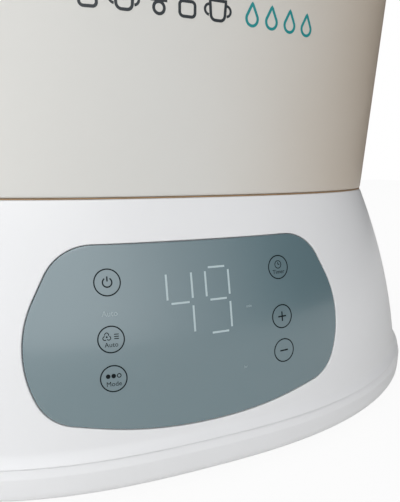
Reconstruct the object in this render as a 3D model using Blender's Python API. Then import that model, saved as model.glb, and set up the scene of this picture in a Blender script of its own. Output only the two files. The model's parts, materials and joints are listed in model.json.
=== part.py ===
"""Steam bottle sterilizer and dryer: a heated oval base, a lift-off sleeve, two racks and a clear lid.

The frame: +Z up, the front (control panel) faces -Y, and the origin is on the floor under the middle.
Sizes below are in millimetres, and MM turns them into Blender's metres where a mesh is made.
"""
import math

import bmesh
import bpy
import numpy as np
from mathutils import Vector

MM = 0.001
GAP = 0.3                 # air between touching pieces

# The plan is one superellipse at every height.
PLAN_RATIO = 0.8          # depth over width
PLAN_POWER = 2.5
PLAN_SIDES = 52

# Heights, from the floor up.
FOOT_HEIGHT = 3.0
CREASE_Z = 17.5           # where the housing meets the bottom cover
SEAM_Z = 100.0            # where the sleeve stands on the housing
SLEEVE_TOP_Z = 255.0
LID_BOTTOM_Z = 257.6
LID_RISE = 68.0
HANDLE_TOP_Z = 346.0
GRIP_REACH = 40.0         # from the lid's middle to each foot of its grip
GRIP_HALF = 3.5           # half thickness of the grip

# Half widths.
SEAM_HALF = 120.0
CREASE_HALF = 144.8
WAIST_BULGE = 12.8        # convex swell of the housing's side
FLARE = 2.2               # how far the side turns out again at the crease
FLARE_HEIGHT = 4.0
BAND_HALF = 148.0
SLEEVE_TOP_HALF = 126.5
WALL = 2.5

# Inside the base and the sleeve.
BOTTOM_FLOOR_Z = 6.0
BOARD_Z = 20.0            # underside of the power board
BOARD_THICKNESS = 1.6
BOARD_SETBACK = 8.2       # from the panel's face to the control board
DECK_Z = 94.0
PLATE_HOLE_RADIUS = 76.0
PLATE_FLANGE_RADIUS = 84.0
FLANGE_Z = 96.1           # underside of the water dish's flange
LEDGE_Z = 106.0           # the sleeve's inner ledge, which carries the bottle rack
RACK_RIM_Z = 116.0

# Control panel: arc corners (half width, height, corner radius) from the top centre to the bottom centre.
PANEL_TOP_Z = 85.8
PANEL_CORNERS = ((46.5, PANEL_TOP_Z, 17.5), (63.3, 53.5, 36.0), (53.0, 30.3, 15.0), (0.0, 19.4, 175.0))
PANEL_CENTRE_Z = 55.0
PANEL_THICKNESS = 1.2
BUTTON_COLUMN = 31.5
BUTTON_ROWS = (73.9, 55.7, 43.1)

FAN_X = 28.0
FAN_FLOOR_Z = 13.0
FAN_HEIGHT = 28.0
FAN_POST_RADIUS = 34.0    # from the fan's axis to the posts that carry its casing
OUTLET_X = (87.0, 103.0)
OUTLET_HALF_Y = 18.0

FILTER_HALF_X = 33.0
FILTER_Z = (32.0, 74.0)

SCREW_HOLE_RADIUS = 1.8
SCREW_SPOTS = tuple((sx * 88.0, sy * 58.0) for sx in (-1, 1) for sy in (-1, 1))
FOOT_SPOTS = tuple((sx * 108.0, sy * 62.0) for sx in (-1, 1) for sy in (-1, 1))
BOTTLE_SPOTS = ((-66.0, -40.0), (0.0, -47.0), (66.0, -40.0), (-66.0, 40.0), (0.0, 47.0), (66.0, 40.0))
GLAND_X = -85.0
GLAND_Z = 34.0

COLOURS = {
    "white_gloss": ((0.86, 0.86, 0.87), 0.22, 0.0),
    "cream_shell": ((0.80, 0.78, 0.74), 0.35, 0.0),
    "panel_grey": ((0.33, 0.41, 0.43), 0.08, 0.0),
    "clear": ((0.90, 0.93, 0.95), 0.08, 0.0),
    "rack_white": ((0.88, 0.88, 0.86), 0.45, 0.0),
    "silicone": ((0.62, 0.50, 0.36), 0.6, 0.0),
    "rubber": ((0.06, 0.06, 0.06), 0.8, 0.0),
    "steel": ((0.72, 0.72, 0.73), 0.3, 1.0),
    "board_green": ((0.05, 0.25, 0.14), 0.5, 0.0),
    "black_plastic": ((0.04, 0.04, 0.045), 0.5, 0.0),
    "filter_paper": ((0.90, 0.91, 0.90), 0.9, 0.0),
}


def material(name):
    """The material of that name, made once."""
    found = bpy.data.materials.get(name)
    if found:
        return found
    colour, roughness, metallic = COLOURS[name]
    made = bpy.data.materials.new(name)
    made.use_nodes = True
    shader = made.node_tree.nodes["Principled BSDF"]
    shader.inputs["Base Color"].default_value = (*colour, 1.0)
    shader.inputs["Roughness"].default_value = roughness
    shader.inputs["Metallic"].default_value = metallic
    return made


def pivot(name, place=(0, 0, 0)):
    """An empty that carries the pieces of one moving body."""
    empty = bpy.data.objects.new(name, None)
    empty.location = Vector(place) * MM
    bpy.context.scene.collection.objects.link(empty)
    return empty


def add(name, points, faces, finish, parent=None, place=(0, 0, 0), turn=(0, 0, 0)):
    """An object from points in millimetres, with its faces turned outwards."""
    mesh = bpy.data.meshes.new(name)
    mesh.from_pydata([Vector(p) * MM for p in points], [], faces)
    work = bmesh.new()
    work.from_mesh(mesh)
    bmesh.ops.remove_doubles(work, verts=work.verts, dist=1e-6)
    bmesh.ops.recalc_face_normals(work, faces=work.faces)
    work.to_mesh(mesh)
    work.free()
    mesh.shade_smooth()
    mesh.set_sharp_from_angle(angle=math.radians(35))
    mesh.materials.append(material(finish))
    made = bpy.data.objects.new(name, mesh)
    made.location = Vector(place) * MM
    made.rotation_euler = turn
    made.parent = parent
    bpy.context.scene.collection.objects.link(made)
    return made


def skin(rings, closed=False):
    """(points, faces) that join equal rings in order.

    A closed skin meets its first ring again; an open one gets a cap at each end.
    """
    count = len(rings[0])
    points = [p for ring in rings for p in ring]
    faces = []
    steps = len(rings) if closed else len(rings) - 1
    for i in range(steps):
        low, high = i * count, ((i + 1) % len(rings)) * count
        for k in range(count):
            n = (k + 1) % count
            faces.append((low + k, low + n, high + n, high + k))
    if not closed:
        faces.append(tuple(range(count))[::-1])
        faces.append(tuple((len(rings) - 1) * count + k for k in range(count)))
    return points, faces


def plan_ring(half_width, half_depth, power, z, sides=PLAN_SIDES):
    """A superellipse ring at height z; power 2 gives an ellipse."""
    ring = []
    for k in range(sides):
        turn = 2 * math.pi * k / sides
        c, s = math.cos(turn), math.sin(turn)
        reach = (abs(c) ** power + abs(s) ** power) ** (-1 / power)
        ring.append((half_width * c * reach, half_depth * s * reach, z))
    return ring


def oval(half_width, z, inset=0.0):
    """The plan's ring whose wall lies inset inside the outline of that half width."""
    return plan_ring(half_width - inset, half_width * PLAN_RATIO - inset, PLAN_POWER, z)


def circle(radius, z, sides=PLAN_SIDES):
    """A round ring at height z."""
    return plan_ring(radius, radius, 2.0, z, sides)


def turned(name, profile, finish, parent=None, place=(0, 0, 0), turn=(0, 0, 0), sides=16, closed=False):
    """A round piece from (radius, height) points."""
    points, faces = skin([circle(r, z, sides) for r, z in profile], closed)
    return add(name, points, faces, finish, parent, place, turn)


def block_shape(low, high):
    """(points, faces) of a rectangular block between two corners."""
    def ring(z):
        return [(low[0], low[1], z), (high[0], low[1], z), (high[0], high[1], z), (low[0], high[1], z)]
    return skin([ring(low[2]), ring(high[2])])


def box(name, low, high, finish="black_plastic", parent=None, place=(0, 0, 0), turn=(0, 0, 0)):
    """A rectangular piece between two corners."""
    return add(name, *block_shape(low, high), finish, parent, place, turn)


def several(name, shapes, finish="black_plastic"):
    """One object that holds several (points, faces) shapes, for use as a cutter or in a union."""
    points, faces = [], []
    for some_points, some_faces in shapes:
        start = len(points)
        points += some_points
        faces += [tuple(start + k for k in face) for face in some_faces]
    return add(name, points, faces, finish)


def post_shape(x, y, radius, low, high, sides=12):
    """(points, faces) of an upright round post."""
    return stepped_shape(x, y, ((radius, low), (radius, high)), sides)


def stepped_shape(x, y, profile, sides=12):
    """(points, faces) of an upright turned shape from (radius, height) points."""
    return skin([[(px + x, py + y, z) for px, py, _ in circle(radius, z, sides)] for radius, z in profile])


def combine(target, tool, operation):
    """Cuts tool from target, or joins it, and removes tool."""
    step = target.modifiers.new(operation.lower(), "BOOLEAN")
    step.operation = operation
    step.object = tool
    graph = bpy.context.evaluated_depsgraph_get()
    result = bpy.data.meshes.new_from_object(target.evaluated_get(graph))
    target.modifiers.remove(step)
    target.data = result
    bpy.data.objects.remove(tool)


def cut(target, tool):
    """Removes tool's shape from target."""
    combine(target, tool, "DIFFERENCE")


def join(target, tool):
    """Makes tool part of target."""
    combine(target, tool, "UNION")


def housing_half(z):
    """Half width of the housing's outside at height z: a taper, a convex swell and the flare at the foot."""
    t = (SEAM_Z - z) / (SEAM_Z - CREASE_Z)
    flare = FLARE * max(0.0, 1 - (z - CREASE_Z) / FLARE_HEIGHT) ** 2
    return SEAM_HALF + (CREASE_HALF - SEAM_HALF) * t + WAIST_BULGE * t * (1 - t) + flare


def plan_point(half_width, along):
    """(x, y, outward normal) on the front of the plan, an arc length along from its middle towards +X."""
    turns = np.linspace(0.0, 1.2, 400)
    s, c = np.sin(turns), np.cos(turns)
    reach = (s ** PLAN_POWER + c ** PLAN_POWER) ** (-1 / PLAN_POWER)
    x, y = half_width * s * reach, -half_width * PLAN_RATIO * c * reach
    run = np.concatenate([[0.0], np.cumsum(np.hypot(np.diff(x), np.diff(y)))])
    px, py = float(np.interp(abs(along), run, x)), float(np.interp(abs(along), run, y))
    side = math.copysign(1.0, along)
    nx = (px / half_width) ** (PLAN_POWER - 1) / half_width
    ny = -((-py / (half_width * PLAN_RATIO)) ** (PLAN_POWER - 1)) / (half_width * PLAN_RATIO)
    length = math.hypot(nx, ny)
    return side * px, py, side * nx / length, ny / length


def front_point(along, z, offset):
    """A point offset millimetres outside the housing's front wall."""
    x, y, nx, ny = plan_point(housing_half(z), along)
    lean = (housing_half(z - 1) - housing_half(z + 1)) / 2 * PLAN_RATIO
    size = math.sqrt(1 + lean * lean)
    return x + nx * offset / size, y + ny * offset / size, z + lean * offset / size


def rounded_outline(corners, steps=4):
    """The right half of a symmetric outline, as arcs of the corners' radii down to the bottom centre."""
    path = [Vector((0.0, corners[0][1]))] + [Vector(c[:2]) for c in corners]
    path.append(Vector((-path[-2].x, path[-2].y)))
    outline = []
    for before, here, after, (_, _, radius) in zip(path, path[1:], path[2:], corners):
        u, v = (before - here).normalized(), (after - here).normalized()
        half = u.angle(v) / 2
        centre = here + (u + v).normalized() * radius / math.sin(half)
        start = here + u * radius / math.tan(half) - centre
        sweep = math.pi - 2 * half
        for k in range(steps + 1):
            turn = -sweep * k / steps
            c, s = math.cos(turn), math.sin(turn)
            spot = centre + Vector((start.x * c - start.y * s, start.x * s + start.y * c))
            if spot.x > -1e-6:
                outline.append((max(spot.x, 0.0), spot.y))
    return outline


def panel_outline(scale=1.0, inset=0.0):
    """The whole control panel outline, closed, as (along, height), pulled towards its centre."""
    right = rounded_outline(PANEL_CORNERS)
    loop = [(0.0, PANEL_TOP_Z)] + right + [(-s, z) for s, z in reversed(right[:-1])]
    pulled = []
    for s, z in loop:
        away = Vector((s, z - PANEL_CENTRE_Z))
        away *= scale * (away.length - inset) / away.length
        pulled.append((away.x, away.y + PANEL_CENTRE_Z))
    return pulled


def wall_slab(outline, low, high, place, centre_z, loops=3):
    """(points, faces) of a slab that follows a wall between two offsets.

    Each face is filled by loops of the outline that shrink to its centre.
    """
    count = len(outline)

    def loop(share, offset):
        return [place(s * share, centre_z + (z - centre_z) * share, offset) for s, z in outline]
    shares = [(k + 1) / loops for k in range(loops)]
    rings = [loop(share, low) for share in shares] + [loop(share, high) for share in reversed(shares)]
    points = [p for ring in rings for p in ring] + [place(0.0, centre_z, low), place(0.0, centre_z, high)]
    faces = []
    for i in range(len(rings) - 1):
        for k in range(count):
            n = (k + 1) % count
            faces.append((i * count + k, i * count + n, (i + 1) * count + n, (i + 1) * count + k))
    last = (len(rings) - 1) * count
    for k in range(count):
        n = (k + 1) % count
        faces.append((k, len(points) - 2, n))
        faces.append((last + k, last + n, len(points) - 1))
    return points, faces


def rear_point(along, z, offset):
    """A point of the housing's rear wall, moved offset along +Y; along is its x."""
    half = housing_half(z)
    y = half * PLAN_RATIO * (1 - (abs(along) / half) ** PLAN_POWER) ** (1 / PLAN_POWER)
    return along, y + offset, z


def rounded_rectangle(half_x, low, high, radius, steps=3):
    """A closed outline of (x, z) points."""
    outline = []
    corners = ((1, 1, 0), (-1, 1, 90), (-1, -1, 180), (1, -1, 270))
    for sx, sz, start in corners:
        cx, cz = sx * (half_x - radius), (high - radius if sz > 0 else low + radius)
        for k in range(steps + 1):
            turn = math.radians(start + 90 * k / steps)
            outline.append((cx + radius * math.cos(turn), cz + radius * math.sin(turn)))
    return outline


def make_housing():
    """The white base casing: side wall, rim, deck, screw pillars, panel recess, filter bay and openings."""
    heights = (CREASE_Z, CREASE_Z + 1.5, CREASE_Z + FLARE_HEIGHT, 36.0, 56.0, 76.0, 97.0)
    outer = [oval(housing_half(z), z) for z in heights]
    outer += [oval(SEAM_HALF, 99.3, 0.3), oval(SEAM_HALF, SEAM_Z, 1.4)]
    rim = [oval(SEAM_HALF, SEAM_Z, 8.2), oval(SEAM_HALF, DECK_Z, 8.5)]
    hole = [circle(PLATE_HOLE_RADIUS, DECK_Z), circle(PLATE_HOLE_RADIUS, DECK_Z - 2.8)]
    inner = [oval(housing_half(z), z, WALL) for z in reversed(heights[:-1])]
    inner.insert(0, oval(housing_half(DECK_Z - 2.8), DECK_Z - 2.8, WALL))
    points, faces = skin(outer + rim + hole + inner, closed=True)
    housing = add("base_shell", points, faces, "white_gloss")
    pillars = several("pillars", [post_shape(x, y, 4.5, 12.0 + GAP, DECK_Z - 1.5) for x, y in SCREW_SPOTS])
    join(housing, pillars)
    cut(housing, several("bores", [post_shape(x, y, SCREW_HOLE_RADIUS, 8.0, 30.0) for x, y in SCREW_SPOTS]))
    recess = wall_slab(panel_outline(), -PANEL_THICKNESS - GAP, 3.0, front_point, PANEL_CENTRE_Z)
    cut(housing, several("recess", [recess]))
    window = wall_slab(panel_outline(0.93), -9.0, 3.0, front_point, PANEL_CENTRE_Z)
    cut(housing, several("window", [window]))
    bay = rounded_rectangle(FILTER_HALF_X + 2, FILTER_Z[0] - 2, FILTER_Z[1] + 2, 7.0)
    middle = sum(FILTER_Z) / 2
    cut(housing, several("bay", [wall_slab(bay, -1.3, 3.0, rear_point, middle)]))
    through = rounded_rectangle(FILTER_HALF_X, *FILTER_Z, 5.0)
    cut(housing, several("through", [wall_slab(through, -9.0, 3.0, rear_point, middle)]))
    outlet = block_shape((OUTLET_X[0], -OUTLET_HALF_Y, 80.0), (OUTLET_X[1], OUTLET_HALF_Y, 99.0))
    cut(housing, several("outlet", [outlet]))
    gland_y = rear_point(GLAND_X, GLAND_Z, 0)[1]
    gland_hole = turned("gland_hole", ((6.3, -14), (6.3, 14)), "rubber", None, (GLAND_X, gland_y, GLAND_Z),
                        (math.radians(90), 0, 0))
    bpy.context.view_layer.update()
    cut(housing, gland_hole)


def make_bottom_cover():
    """The bottom cover: the rounded band under the crease, the floor, its bosses, posts and air slots."""
    low, high = FOOT_HEIGHT + GAP, CREASE_Z - GAP
    outside = ((low, 6.8), (4.2, 3.5), (6.2, 1.3), (9.0, 0.2), (13.5, 0.2), (high, 1.2))
    inside = ((high, 4.2), (9.5, 4.4), (BOTTOM_FLOOR_Z, 9.5))
    points, faces = skin([oval(BAND_HALF, z, inset) for z, inset in outside + inside])
    cover = add("base_bottom", points, faces, "white_gloss")
    raised = [post_shape(x, y, 6.5, 5.0, 12.0) for x, y in SCREW_SPOTS]
    raised += [post_shape(x, y, 3.0, 5.0, BOARD_Z - GAP) for x in (-106.0, -58.0) for y in (-24.0, 34.0)]
    for angle in (60, 180, 300):
        turn = math.radians(angle)
        x, y = FAN_X + FAN_POST_RADIUS * math.cos(turn), FAN_POST_RADIUS * math.sin(turn)
        raised.append(post_shape(x, y, 3.0, 5.0, FAN_FLOOR_Z - GAP))
    join(cover, several("raised", raised))
    counterbore = ((4.2, 2.0), (4.2, 9.0), (SCREW_HOLE_RADIUS, 9.0), (SCREW_HOLE_RADIUS, 13.0))
    cut(cover, several("holes", [stepped_shape(x, y, counterbore) for x, y in SCREW_SPOTS]))
    columns = [FAN_X + 7 * k for k in range(-3, 4)]
    slots = [block_shape((x - 0.5, -22.0, 2.0), (x + 2.5, 22.0, 8.0)) for x in columns]
    cut(cover, several("slots", slots))


def make_fasteners_and_feet():
    """Four case screws under the base and four rubber feet."""
    for number, (x, y) in enumerate(SCREW_SPOTS, 1):
        profile = ((3.5, 6.3), (3.7, 7.2), (3.4, 8.7), (1.5, 8.7), (1.5, 24.0), (0.5, 26.0))
        turned(f"base_screw_{number}", profile, "steel", place=(x, y, 0), sides=12)
    for number, (x, y) in enumerate(FOOT_SPOTS, 1):
        profile = ((7.6, 0.0), (8.6, 0.6), (9.0, FOOT_HEIGHT))
        turned(f"foot_{number}", profile, "rubber", place=(x, y, 0), sides=20)


def make_control_parts():
    """The glossy panel and, behind it, the display, the board, the touch pads and the buzzer."""
    lens = wall_slab(panel_outline(1.0, GAP), -PANEL_THICKNESS, 0.0, front_point, PANEL_CENTRE_Z)
    add("panel_lens", *lens, "panel_grey")
    _, wall_y, _ = front_point(0, PANEL_CENTRE_Z, 0)
    lean = math.atan((housing_half(PANEL_CENTRE_Z - 1) - housing_half(PANEL_CENTRE_Z + 1)) / 2 * PLAN_RATIO)
    tilt, upright = (-lean, 0, 0), (math.radians(90) - lean, 0, 0)
    spot = (0, wall_y, PANEL_CENTRE_Z)
    front, back = BOARD_SETBACK, BOARD_SETBACK + BOARD_THICKNESS
    box("control_board", (-46, front, -23), (46, back, 24), "board_green", None, spot, tilt)
    box("display_module", (-17, 3.0, -6), (17, front - GAP, 24), "black_plastic", None, spot, tilt)
    pad = ((3.0, GAP - front), (3.0, -3.6))
    places = [(side * BUTTON_COLUMN, row) for side in (-1, 1) for row in BUTTON_ROWS]
    for number, (x, z) in enumerate(places, 1):
        y = wall_y + (z - PANEL_CENTRE_Z) * math.tan(lean)
        turned(f"touch_pad_{number}", pad, "rubber", None, (x, y, z), upright, sides=12)
    sounder = ((6.0, -back - 4.4), (6.0, -back - GAP))
    turned("buzzer", sounder, "black_plastic", None, (-30, wall_y, PANEL_CENTRE_Z), upright, sides=16)


def make_power_parts():
    """The power board and the cord gland in the rear wall."""
    board = box("power_board", (-112, -30, BOARD_Z), (-52, 40, BOARD_Z + BOARD_THICKNESS), "board_green")
    parts = [block_shape((-106, -16, 21), (-88, 0, 37)), block_shape((-80, -22, 21), (-62, -4, 33)),
             block_shape((-82, 12, 21), (-60, 32, 40)), post_shape(-98, 18, 8.0, 21.0, 43.0)]
    join(board, several("components", parts))
    gland_y = rear_point(GLAND_X, GLAND_Z, 0)[1]
    profile = ((3.4, -12.0), (6.0, -12.0), (6.0, 4.4), (8.5, 5.4), (7.0, 10.0), (5.2, 13.0), (3.4, 13.0))
    turned("cord_gland", profile, "rubber", None, (GLAND_X, gland_y, GLAND_Z), (math.radians(-90), 0, 0),
           closed=True)


def make_heater():
    """The water dish with its seal, heating element, thermostat, fuse, sensor and bracket."""
    under, over = FLANGE_Z, FLANGE_Z + 2.0
    rim = ((PLATE_FLANGE_RADIUS, under), (PLATE_FLANGE_RADIUS, over))
    dish = ((72.0, 85.3), (75.0, 88.0), (75.4, under), *rim, (73.6, over), (73.0, 89.6), (70.5, 87.5))
    turned("heating_plate", dish, "steel", sides=PLAN_SIDES)
    seal_low, seal_high = DECK_Z + GAP, FLANGE_Z - GAP
    seal = ((77.5, seal_low), (83.0, seal_low), (83.0, seal_high), (77.5, seal_high))
    turned("plate_seal", seal, "silicone", sides=36, closed=True)
    curve = bpy.data.curves.new("heater_element", "CURVE")
    curve.dimensions = "3D"
    curve.bevel_depth = 3.5 * MM
    curve.bevel_resolution = 2
    curve.use_fill_caps = True
    turns = [math.radians(-75 + 330 * k / 26) for k in range(27)]
    ring = [Vector((55 * math.cos(turn), 55 * math.sin(turn), 81.3)) for turn in turns]
    first_lead = Vector((math.sin(turns[0]), -math.cos(turns[0]), 0)) * 5
    last_lead = Vector((-math.sin(turns[-1]), math.cos(turns[-1]), 0)) * 5
    drops = [Vector((0, 0, -3.0)), Vector((0, 0, -12.0))]
    route = [ring[0] + first_lead + drop for drop in reversed(drops)] + ring
    route += [ring[-1] + last_lead + drop for drop in drops]
    spline = curve.splines.new("POLY")
    spline.points.add(len(route) - 1)
    for point, spot in zip(spline.points, route):
        point.co = (*(spot * MM), 1.0)
    element = bpy.data.objects.new("heater_element", curve)
    curve.materials.append(material("steel"))
    bpy.context.scene.collection.objects.link(element)
    turned("thermostat", ((4.0, 77.0), (8.0, 78.0), (8.0, 82.0), (6.5, 85.0)), "black_plastic", sides=20)
    flat = (0, math.radians(90), 0)
    fuse = ((1.2, -9.0), (2.2, -6.0), (2.2, 6.0), (1.2, 9.0))
    turned("thermal_fuse", fuse, "steel", None, (0, 26, 82.4), flat, 12)
    turned("temperature_sensor", ((2.4, 77.0), (2.4, 84.0), (1.4, 85.0)), "steel", None, (22, 0, 0), sides=12)
    bracket = box("sensor_bracket", (-34, -6, 75.7), (34, 6, 76.7), "steel")
    legs = [block_shape((x, -6, 76), (x + 1, 6, 85)) for x in (-34, 33)]
    join(bracket, several("legs", legs))


def spiral_ring(grow, z, inset=0.0, sides=32):
    """The fan casing's outline, whose radius grows with the turn."""
    ring = []
    for k in range(sides):
        turn = 2 * math.pi * k / sides
        radius = 33.0 + grow * k / sides - inset
        ring.append((FAN_X + radius * math.cos(turn + 0.6), -radius * math.sin(turn + 0.6), z))
    return ring


def make_fan():
    """The drying blower: casing, duct, air heater, outlet grille, motor and the spinning rotor."""
    low, high = FAN_FLOOR_Z, FAN_FLOOR_Z + FAN_HEIGHT
    points, faces = skin([spiral_ring(9.0, low), spiral_ring(9.0, high)])
    casing = add("fan_casing", points, faces, "white_gloss")
    join(casing, several("throat", [block_shape((FAN_X + 12, -20, low), (73.7, 20, high))]))
    hollow = several("hollow", [skin([spiral_ring(9.0, low + 2, 2.0), spiral_ring(9.0, high - 2, 2.0)])])
    join(hollow, several("way_out", [block_shape((FAN_X + 12, -18, low + 2), (76, 18, high - 2))]))
    cut(casing, hollow)
    cut(casing, several("inlet", [post_shape(FAN_X, 0, 22.0, low - 1, low + 3, 24),
                                  post_shape(FAN_X, 0, 4.0, high - 3, high + 1)]))
    duct = box("air_duct", (74, -20, low), (108, 20, high), "white_gloss")
    join(duct, several("riser", [block_shape((OUTLET_X[0] - 2, -20, low), (108, 20, DECK_Z - 2.8 - GAP))]))
    cut(duct, several("flow", [block_shape((73, -18, low + 2), (106, 18, high - 2))]))
    cut(duct, several("rise", [block_shape((OUTLET_X[0], -18, low + 3), (106, 18, DECK_Z + 1))]))
    heater = box("air_heater", (OUTLET_X[0] + GAP, -17.5, 50), (105.7, 17.5, 62), "steel")
    rows = [5.4 * k - 13.5 for k in range(6)]
    cells = [block_shape((OUTLET_X[0] + 2, y - 2, 49), (103.7, y + 2, 63)) for y in rows]
    cut(heater, several("cells", cells))
    grille_low = (OUTLET_X[0] + GAP, -OUTLET_HALF_Y + GAP, DECK_Z - 2.0)
    grille_high = (OUTLET_X[1] - GAP, OUTLET_HALF_Y - GAP, DECK_Z + 1.0)
    grille = box("outlet_grille", grille_low, grille_high, "white_gloss")
    bars = [block_shape((OUTLET_X[0] + 2, 6.9 * k - 2.3, 90), (OUTLET_X[1] - 2, 6.9 * k + 2.3, 97))
            for k in range(-2, 3)]
    cut(grille, several("bars", bars))
    motor = ((1.6, 41.3), (9.0, 41.3), (9.0, 44.0), (16.0, 44.0), (16.0, 58.0), (13.0, 60.0), (2.5, 60.0),
             (2.5, 54.0), (1.6, 54.0))
    turned("fan_motor", motor, "steel", None, (FAN_X, 0, 0), sides=20, closed=True)
    axis = pivot("fan_axis", (FAN_X, 0, 0))
    turned("motor_shaft", ((1.2, 20.0), (1.2, 53.0)), "steel", axis, sides=12)
    hub = ((1.5, 19.0), (6.0, 19.0), (8.0, 33.0), (28.0, 34.5), (28.0, 36.0), (1.5, 36.0))
    impeller = turned("fan_impeller", hub, "black_plastic", axis, sides=24, closed=True)
    blades = []
    for k in range(12):
        turn = 2 * math.pi * k / 12
        c, s = math.cos(turn), math.sin(turn)
        corners = ((20.0, -1.6), (27.0, 1.4), (27.0, 2.6), (20.0, -0.4))
        outline = [(FAN_X + x * c - y * s, x * s + y * c) for x, y in corners]
        blades.append(skin([[(x, y, z) for x, y in outline] for z in (17.0, 35.2)]))
    bpy.context.view_layer.update()
    join(impeller, several("blades", blades))
    band = ((24.0, 17.0), (28.0, 17.0), (28.0, 18.6), (24.0, 18.6))
    rings = [[(x + FAN_X, y, z) for x, y, z in circle(radius, height, 24)] for radius, height in band]
    join(impeller, several("rim", [skin(rings, closed=True)]))


def make_filter():
    """The pull-off rear cover with its louvres, and the filter pad that it holds."""
    body = pivot("filter_pull")
    middle = sum(FILTER_Z) / 2
    outline = rounded_rectangle(FILTER_HALF_X + 2 - GAP, FILTER_Z[0] - 2 + GAP, FILTER_Z[1] + 2 - GAP, 6.7)
    cover = add("filter_cover", *wall_slab(outline, -1.0, 0.0, rear_point, middle), "white_gloss", body)
    frame = several("frame", [block_shape((-31, 90, 34), (31, 112.0, 72))])
    keep = wall_slab(rounded_rectangle(32.0, 33.0, 73.0, 1.0), -40.0, -0.5, rear_point, middle)
    limit = several("limit", [keep])
    combine(frame, limit, "INTERSECT")
    join(cover, frame)
    cut(cover, several("pocket", [block_shape((-29.5, 89, 35.5), (29.5, 100.5, 70.5))]))
    louvres = [block_shape((-25, 88, 39.0 + 5 * k), (25, 120, 41.4 + 5 * k)) for k in range(6)]
    cut(cover, several("louvres", louvres))
    box("air_filter", (-29.2, 90.5, 35.8), (29.2, 100.2, 70.2), "filter_paper", body)


def make_sleeve():
    """The cream body sleeve with its inner ledge, and the gasket under its foot."""
    body = pivot("sleeve_lift")
    outer = [oval(SEAM_HALF, 100.5, 0.9), oval(SEAM_HALF, 101.6), oval(SLEEVE_TOP_HALF, 254.2),
             oval(SLEEVE_TOP_HALF, SLEEVE_TOP_Z, 0.7)]
    inner = [oval(SLEEVE_TOP_HALF, SLEEVE_TOP_Z, 2.0), oval(SLEEVE_TOP_HALF, 254.2, WALL)]
    foot = [oval(SEAM_HALF, LEDGE_Z, 2.4), oval(SEAM_HALF, LEDGE_Z, 13.5), oval(SEAM_HALF, 98.6, 13.5),
            oval(SEAM_HALF, 98.6, 9.0), oval(SEAM_HALF, 101.9, 9.0), oval(SEAM_HALF, 101.9, 2.2),
            oval(SEAM_HALF, 100.5, 2.2)]
    points, faces = skin(outer + inner + foot, closed=True)
    add("sleeve", points, faces, "cream_shell", body)
    seal = [oval(SEAM_HALF, 100.3, 8.0), oval(SEAM_HALF, 100.3, 2.6), oval(SEAM_HALF, 101.5, 2.6),
            oval(SEAM_HALF, 101.5, 8.0)]
    points, faces = skin(seal, closed=True)
    add("sleeve_seal", points, faces, "silicone", body)
    return body


def peg_shape(x, y):
    """(points, faces) of a cross-shaped bottle peg that tapers upwards."""
    def ring(reach, thick, z):
        quarter = [(reach, -thick), (reach, thick), (thick, thick)]
        ring_points = []
        for turn in range(4):
            c, s = round(math.cos(turn * math.pi / 2)), round(math.sin(turn * math.pi / 2))
            ring_points += [(x + px * c - py * s, y + px * s + py * c, z) for px, py in quarter]
        return ring_points
    return skin([ring(9.0, 1.3, 108.0), ring(8.0, 1.2, 150.0), ring(4.0, 0.9, 182.0)])


def make_bottle_rack(parent):
    """The lower rack: floor with steam slots, six bottle pegs and the lifting post."""
    body = pivot("rack_lift")
    body.parent = parent
    floor_z = LEDGE_Z + 3.0
    section = ((LEDGE_Z + GAP, 6.0), (floor_z, 5.4), (RACK_RIM_Z, 4.6), (RACK_RIM_Z, 6.6), (floor_z, 7.4))
    points, faces = skin([oval(SEAM_HALF, z, inset) for z, inset in section])
    rack = add("bottle_rack", points, faces, "rack_white", body)
    join(rack, several("pegs", [peg_shape(x, y) for x, y in BOTTLE_SPOTS]))
    long_slots = [(22.0 * k + 11.0, y, 13.0) for k in range(-4, 4) for y in (-20.0, 20.0)]
    short_slots = [(x, y, 12.0) for x in (-33.0, 33.0) for y in (-64.0, 64.0)]
    slots = [block_shape((x - 2.5, y - reach, 104.0), (x + 2.5, y + reach, 112.0))
             for x, y, reach in long_slots + short_slots]
    cut(rack, several("steam_slots", slots))
    post = ((12.0, floor_z + 0.4), (7.0, 116.0), (5.5, 150.0), (5.0, 215.0), (9.5, 232.0), (11.0, 240.0),
            (8.5, 245.6))
    turned("rack_post", post, "rack_white", body)
    return body


def make_tray(parent):
    """The upper tray for teats and small parts, with its knob."""
    body = pivot("tray_lift")
    body.parent = parent
    top, half = SLEEVE_TOP_Z + GAP, SLEEVE_TOP_HALF
    section = ((246.5, 12.0), (247.8, 8.8), (top, 5.0), (top, 0.2), (top + 2.0, 0.2), (top + 2.0, 7.0),
               (249.6, 10.8), (249.0, 12.5))
    points, faces = skin([oval(half, z, inset) for z, inset in section])
    tray = add("accessory_tray", points, faces, "rack_white", body)
    slots = []
    for x in range(-84, 85, 14):
        reach = 62.0 if abs(x) < 60 else 42.0
        slots.append(block_shape((x - 2.0, 18.0, 244.0), (x + 2.0, reach, 252.0)))
        slots.append(block_shape((x - 2.0, -reach, 244.0), (x + 2.0, -18.0, 252.0)))
    cut(tray, several("tray_slots", slots))
    knob = ((10.0, 249.3), (6.0, 253.0), (4.0, 262.0), (4.0, 276.0), (9.0, 283.0), (9.0, 288.0), (5.0, 291.0))
    turned("tray_knob", knob, "rack_white", body)
    return body


def dome_half(z, inset):
    """Half width of the lid's surface at height z: a superellipse of power 3 in section."""
    rise = max(0.0, min(1.0, (z - LID_BOTTOM_Z) / (LID_RISE - inset)))
    return (SLEEVE_TOP_HALF - inset) * (1 - rise ** 3) ** (1 / 3)


def squared(value):
    """A sine or cosine drawn towards 1, which gives a section rounded corners and flatter sides."""
    return math.copysign(abs(value) ** 0.7, value)


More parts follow.
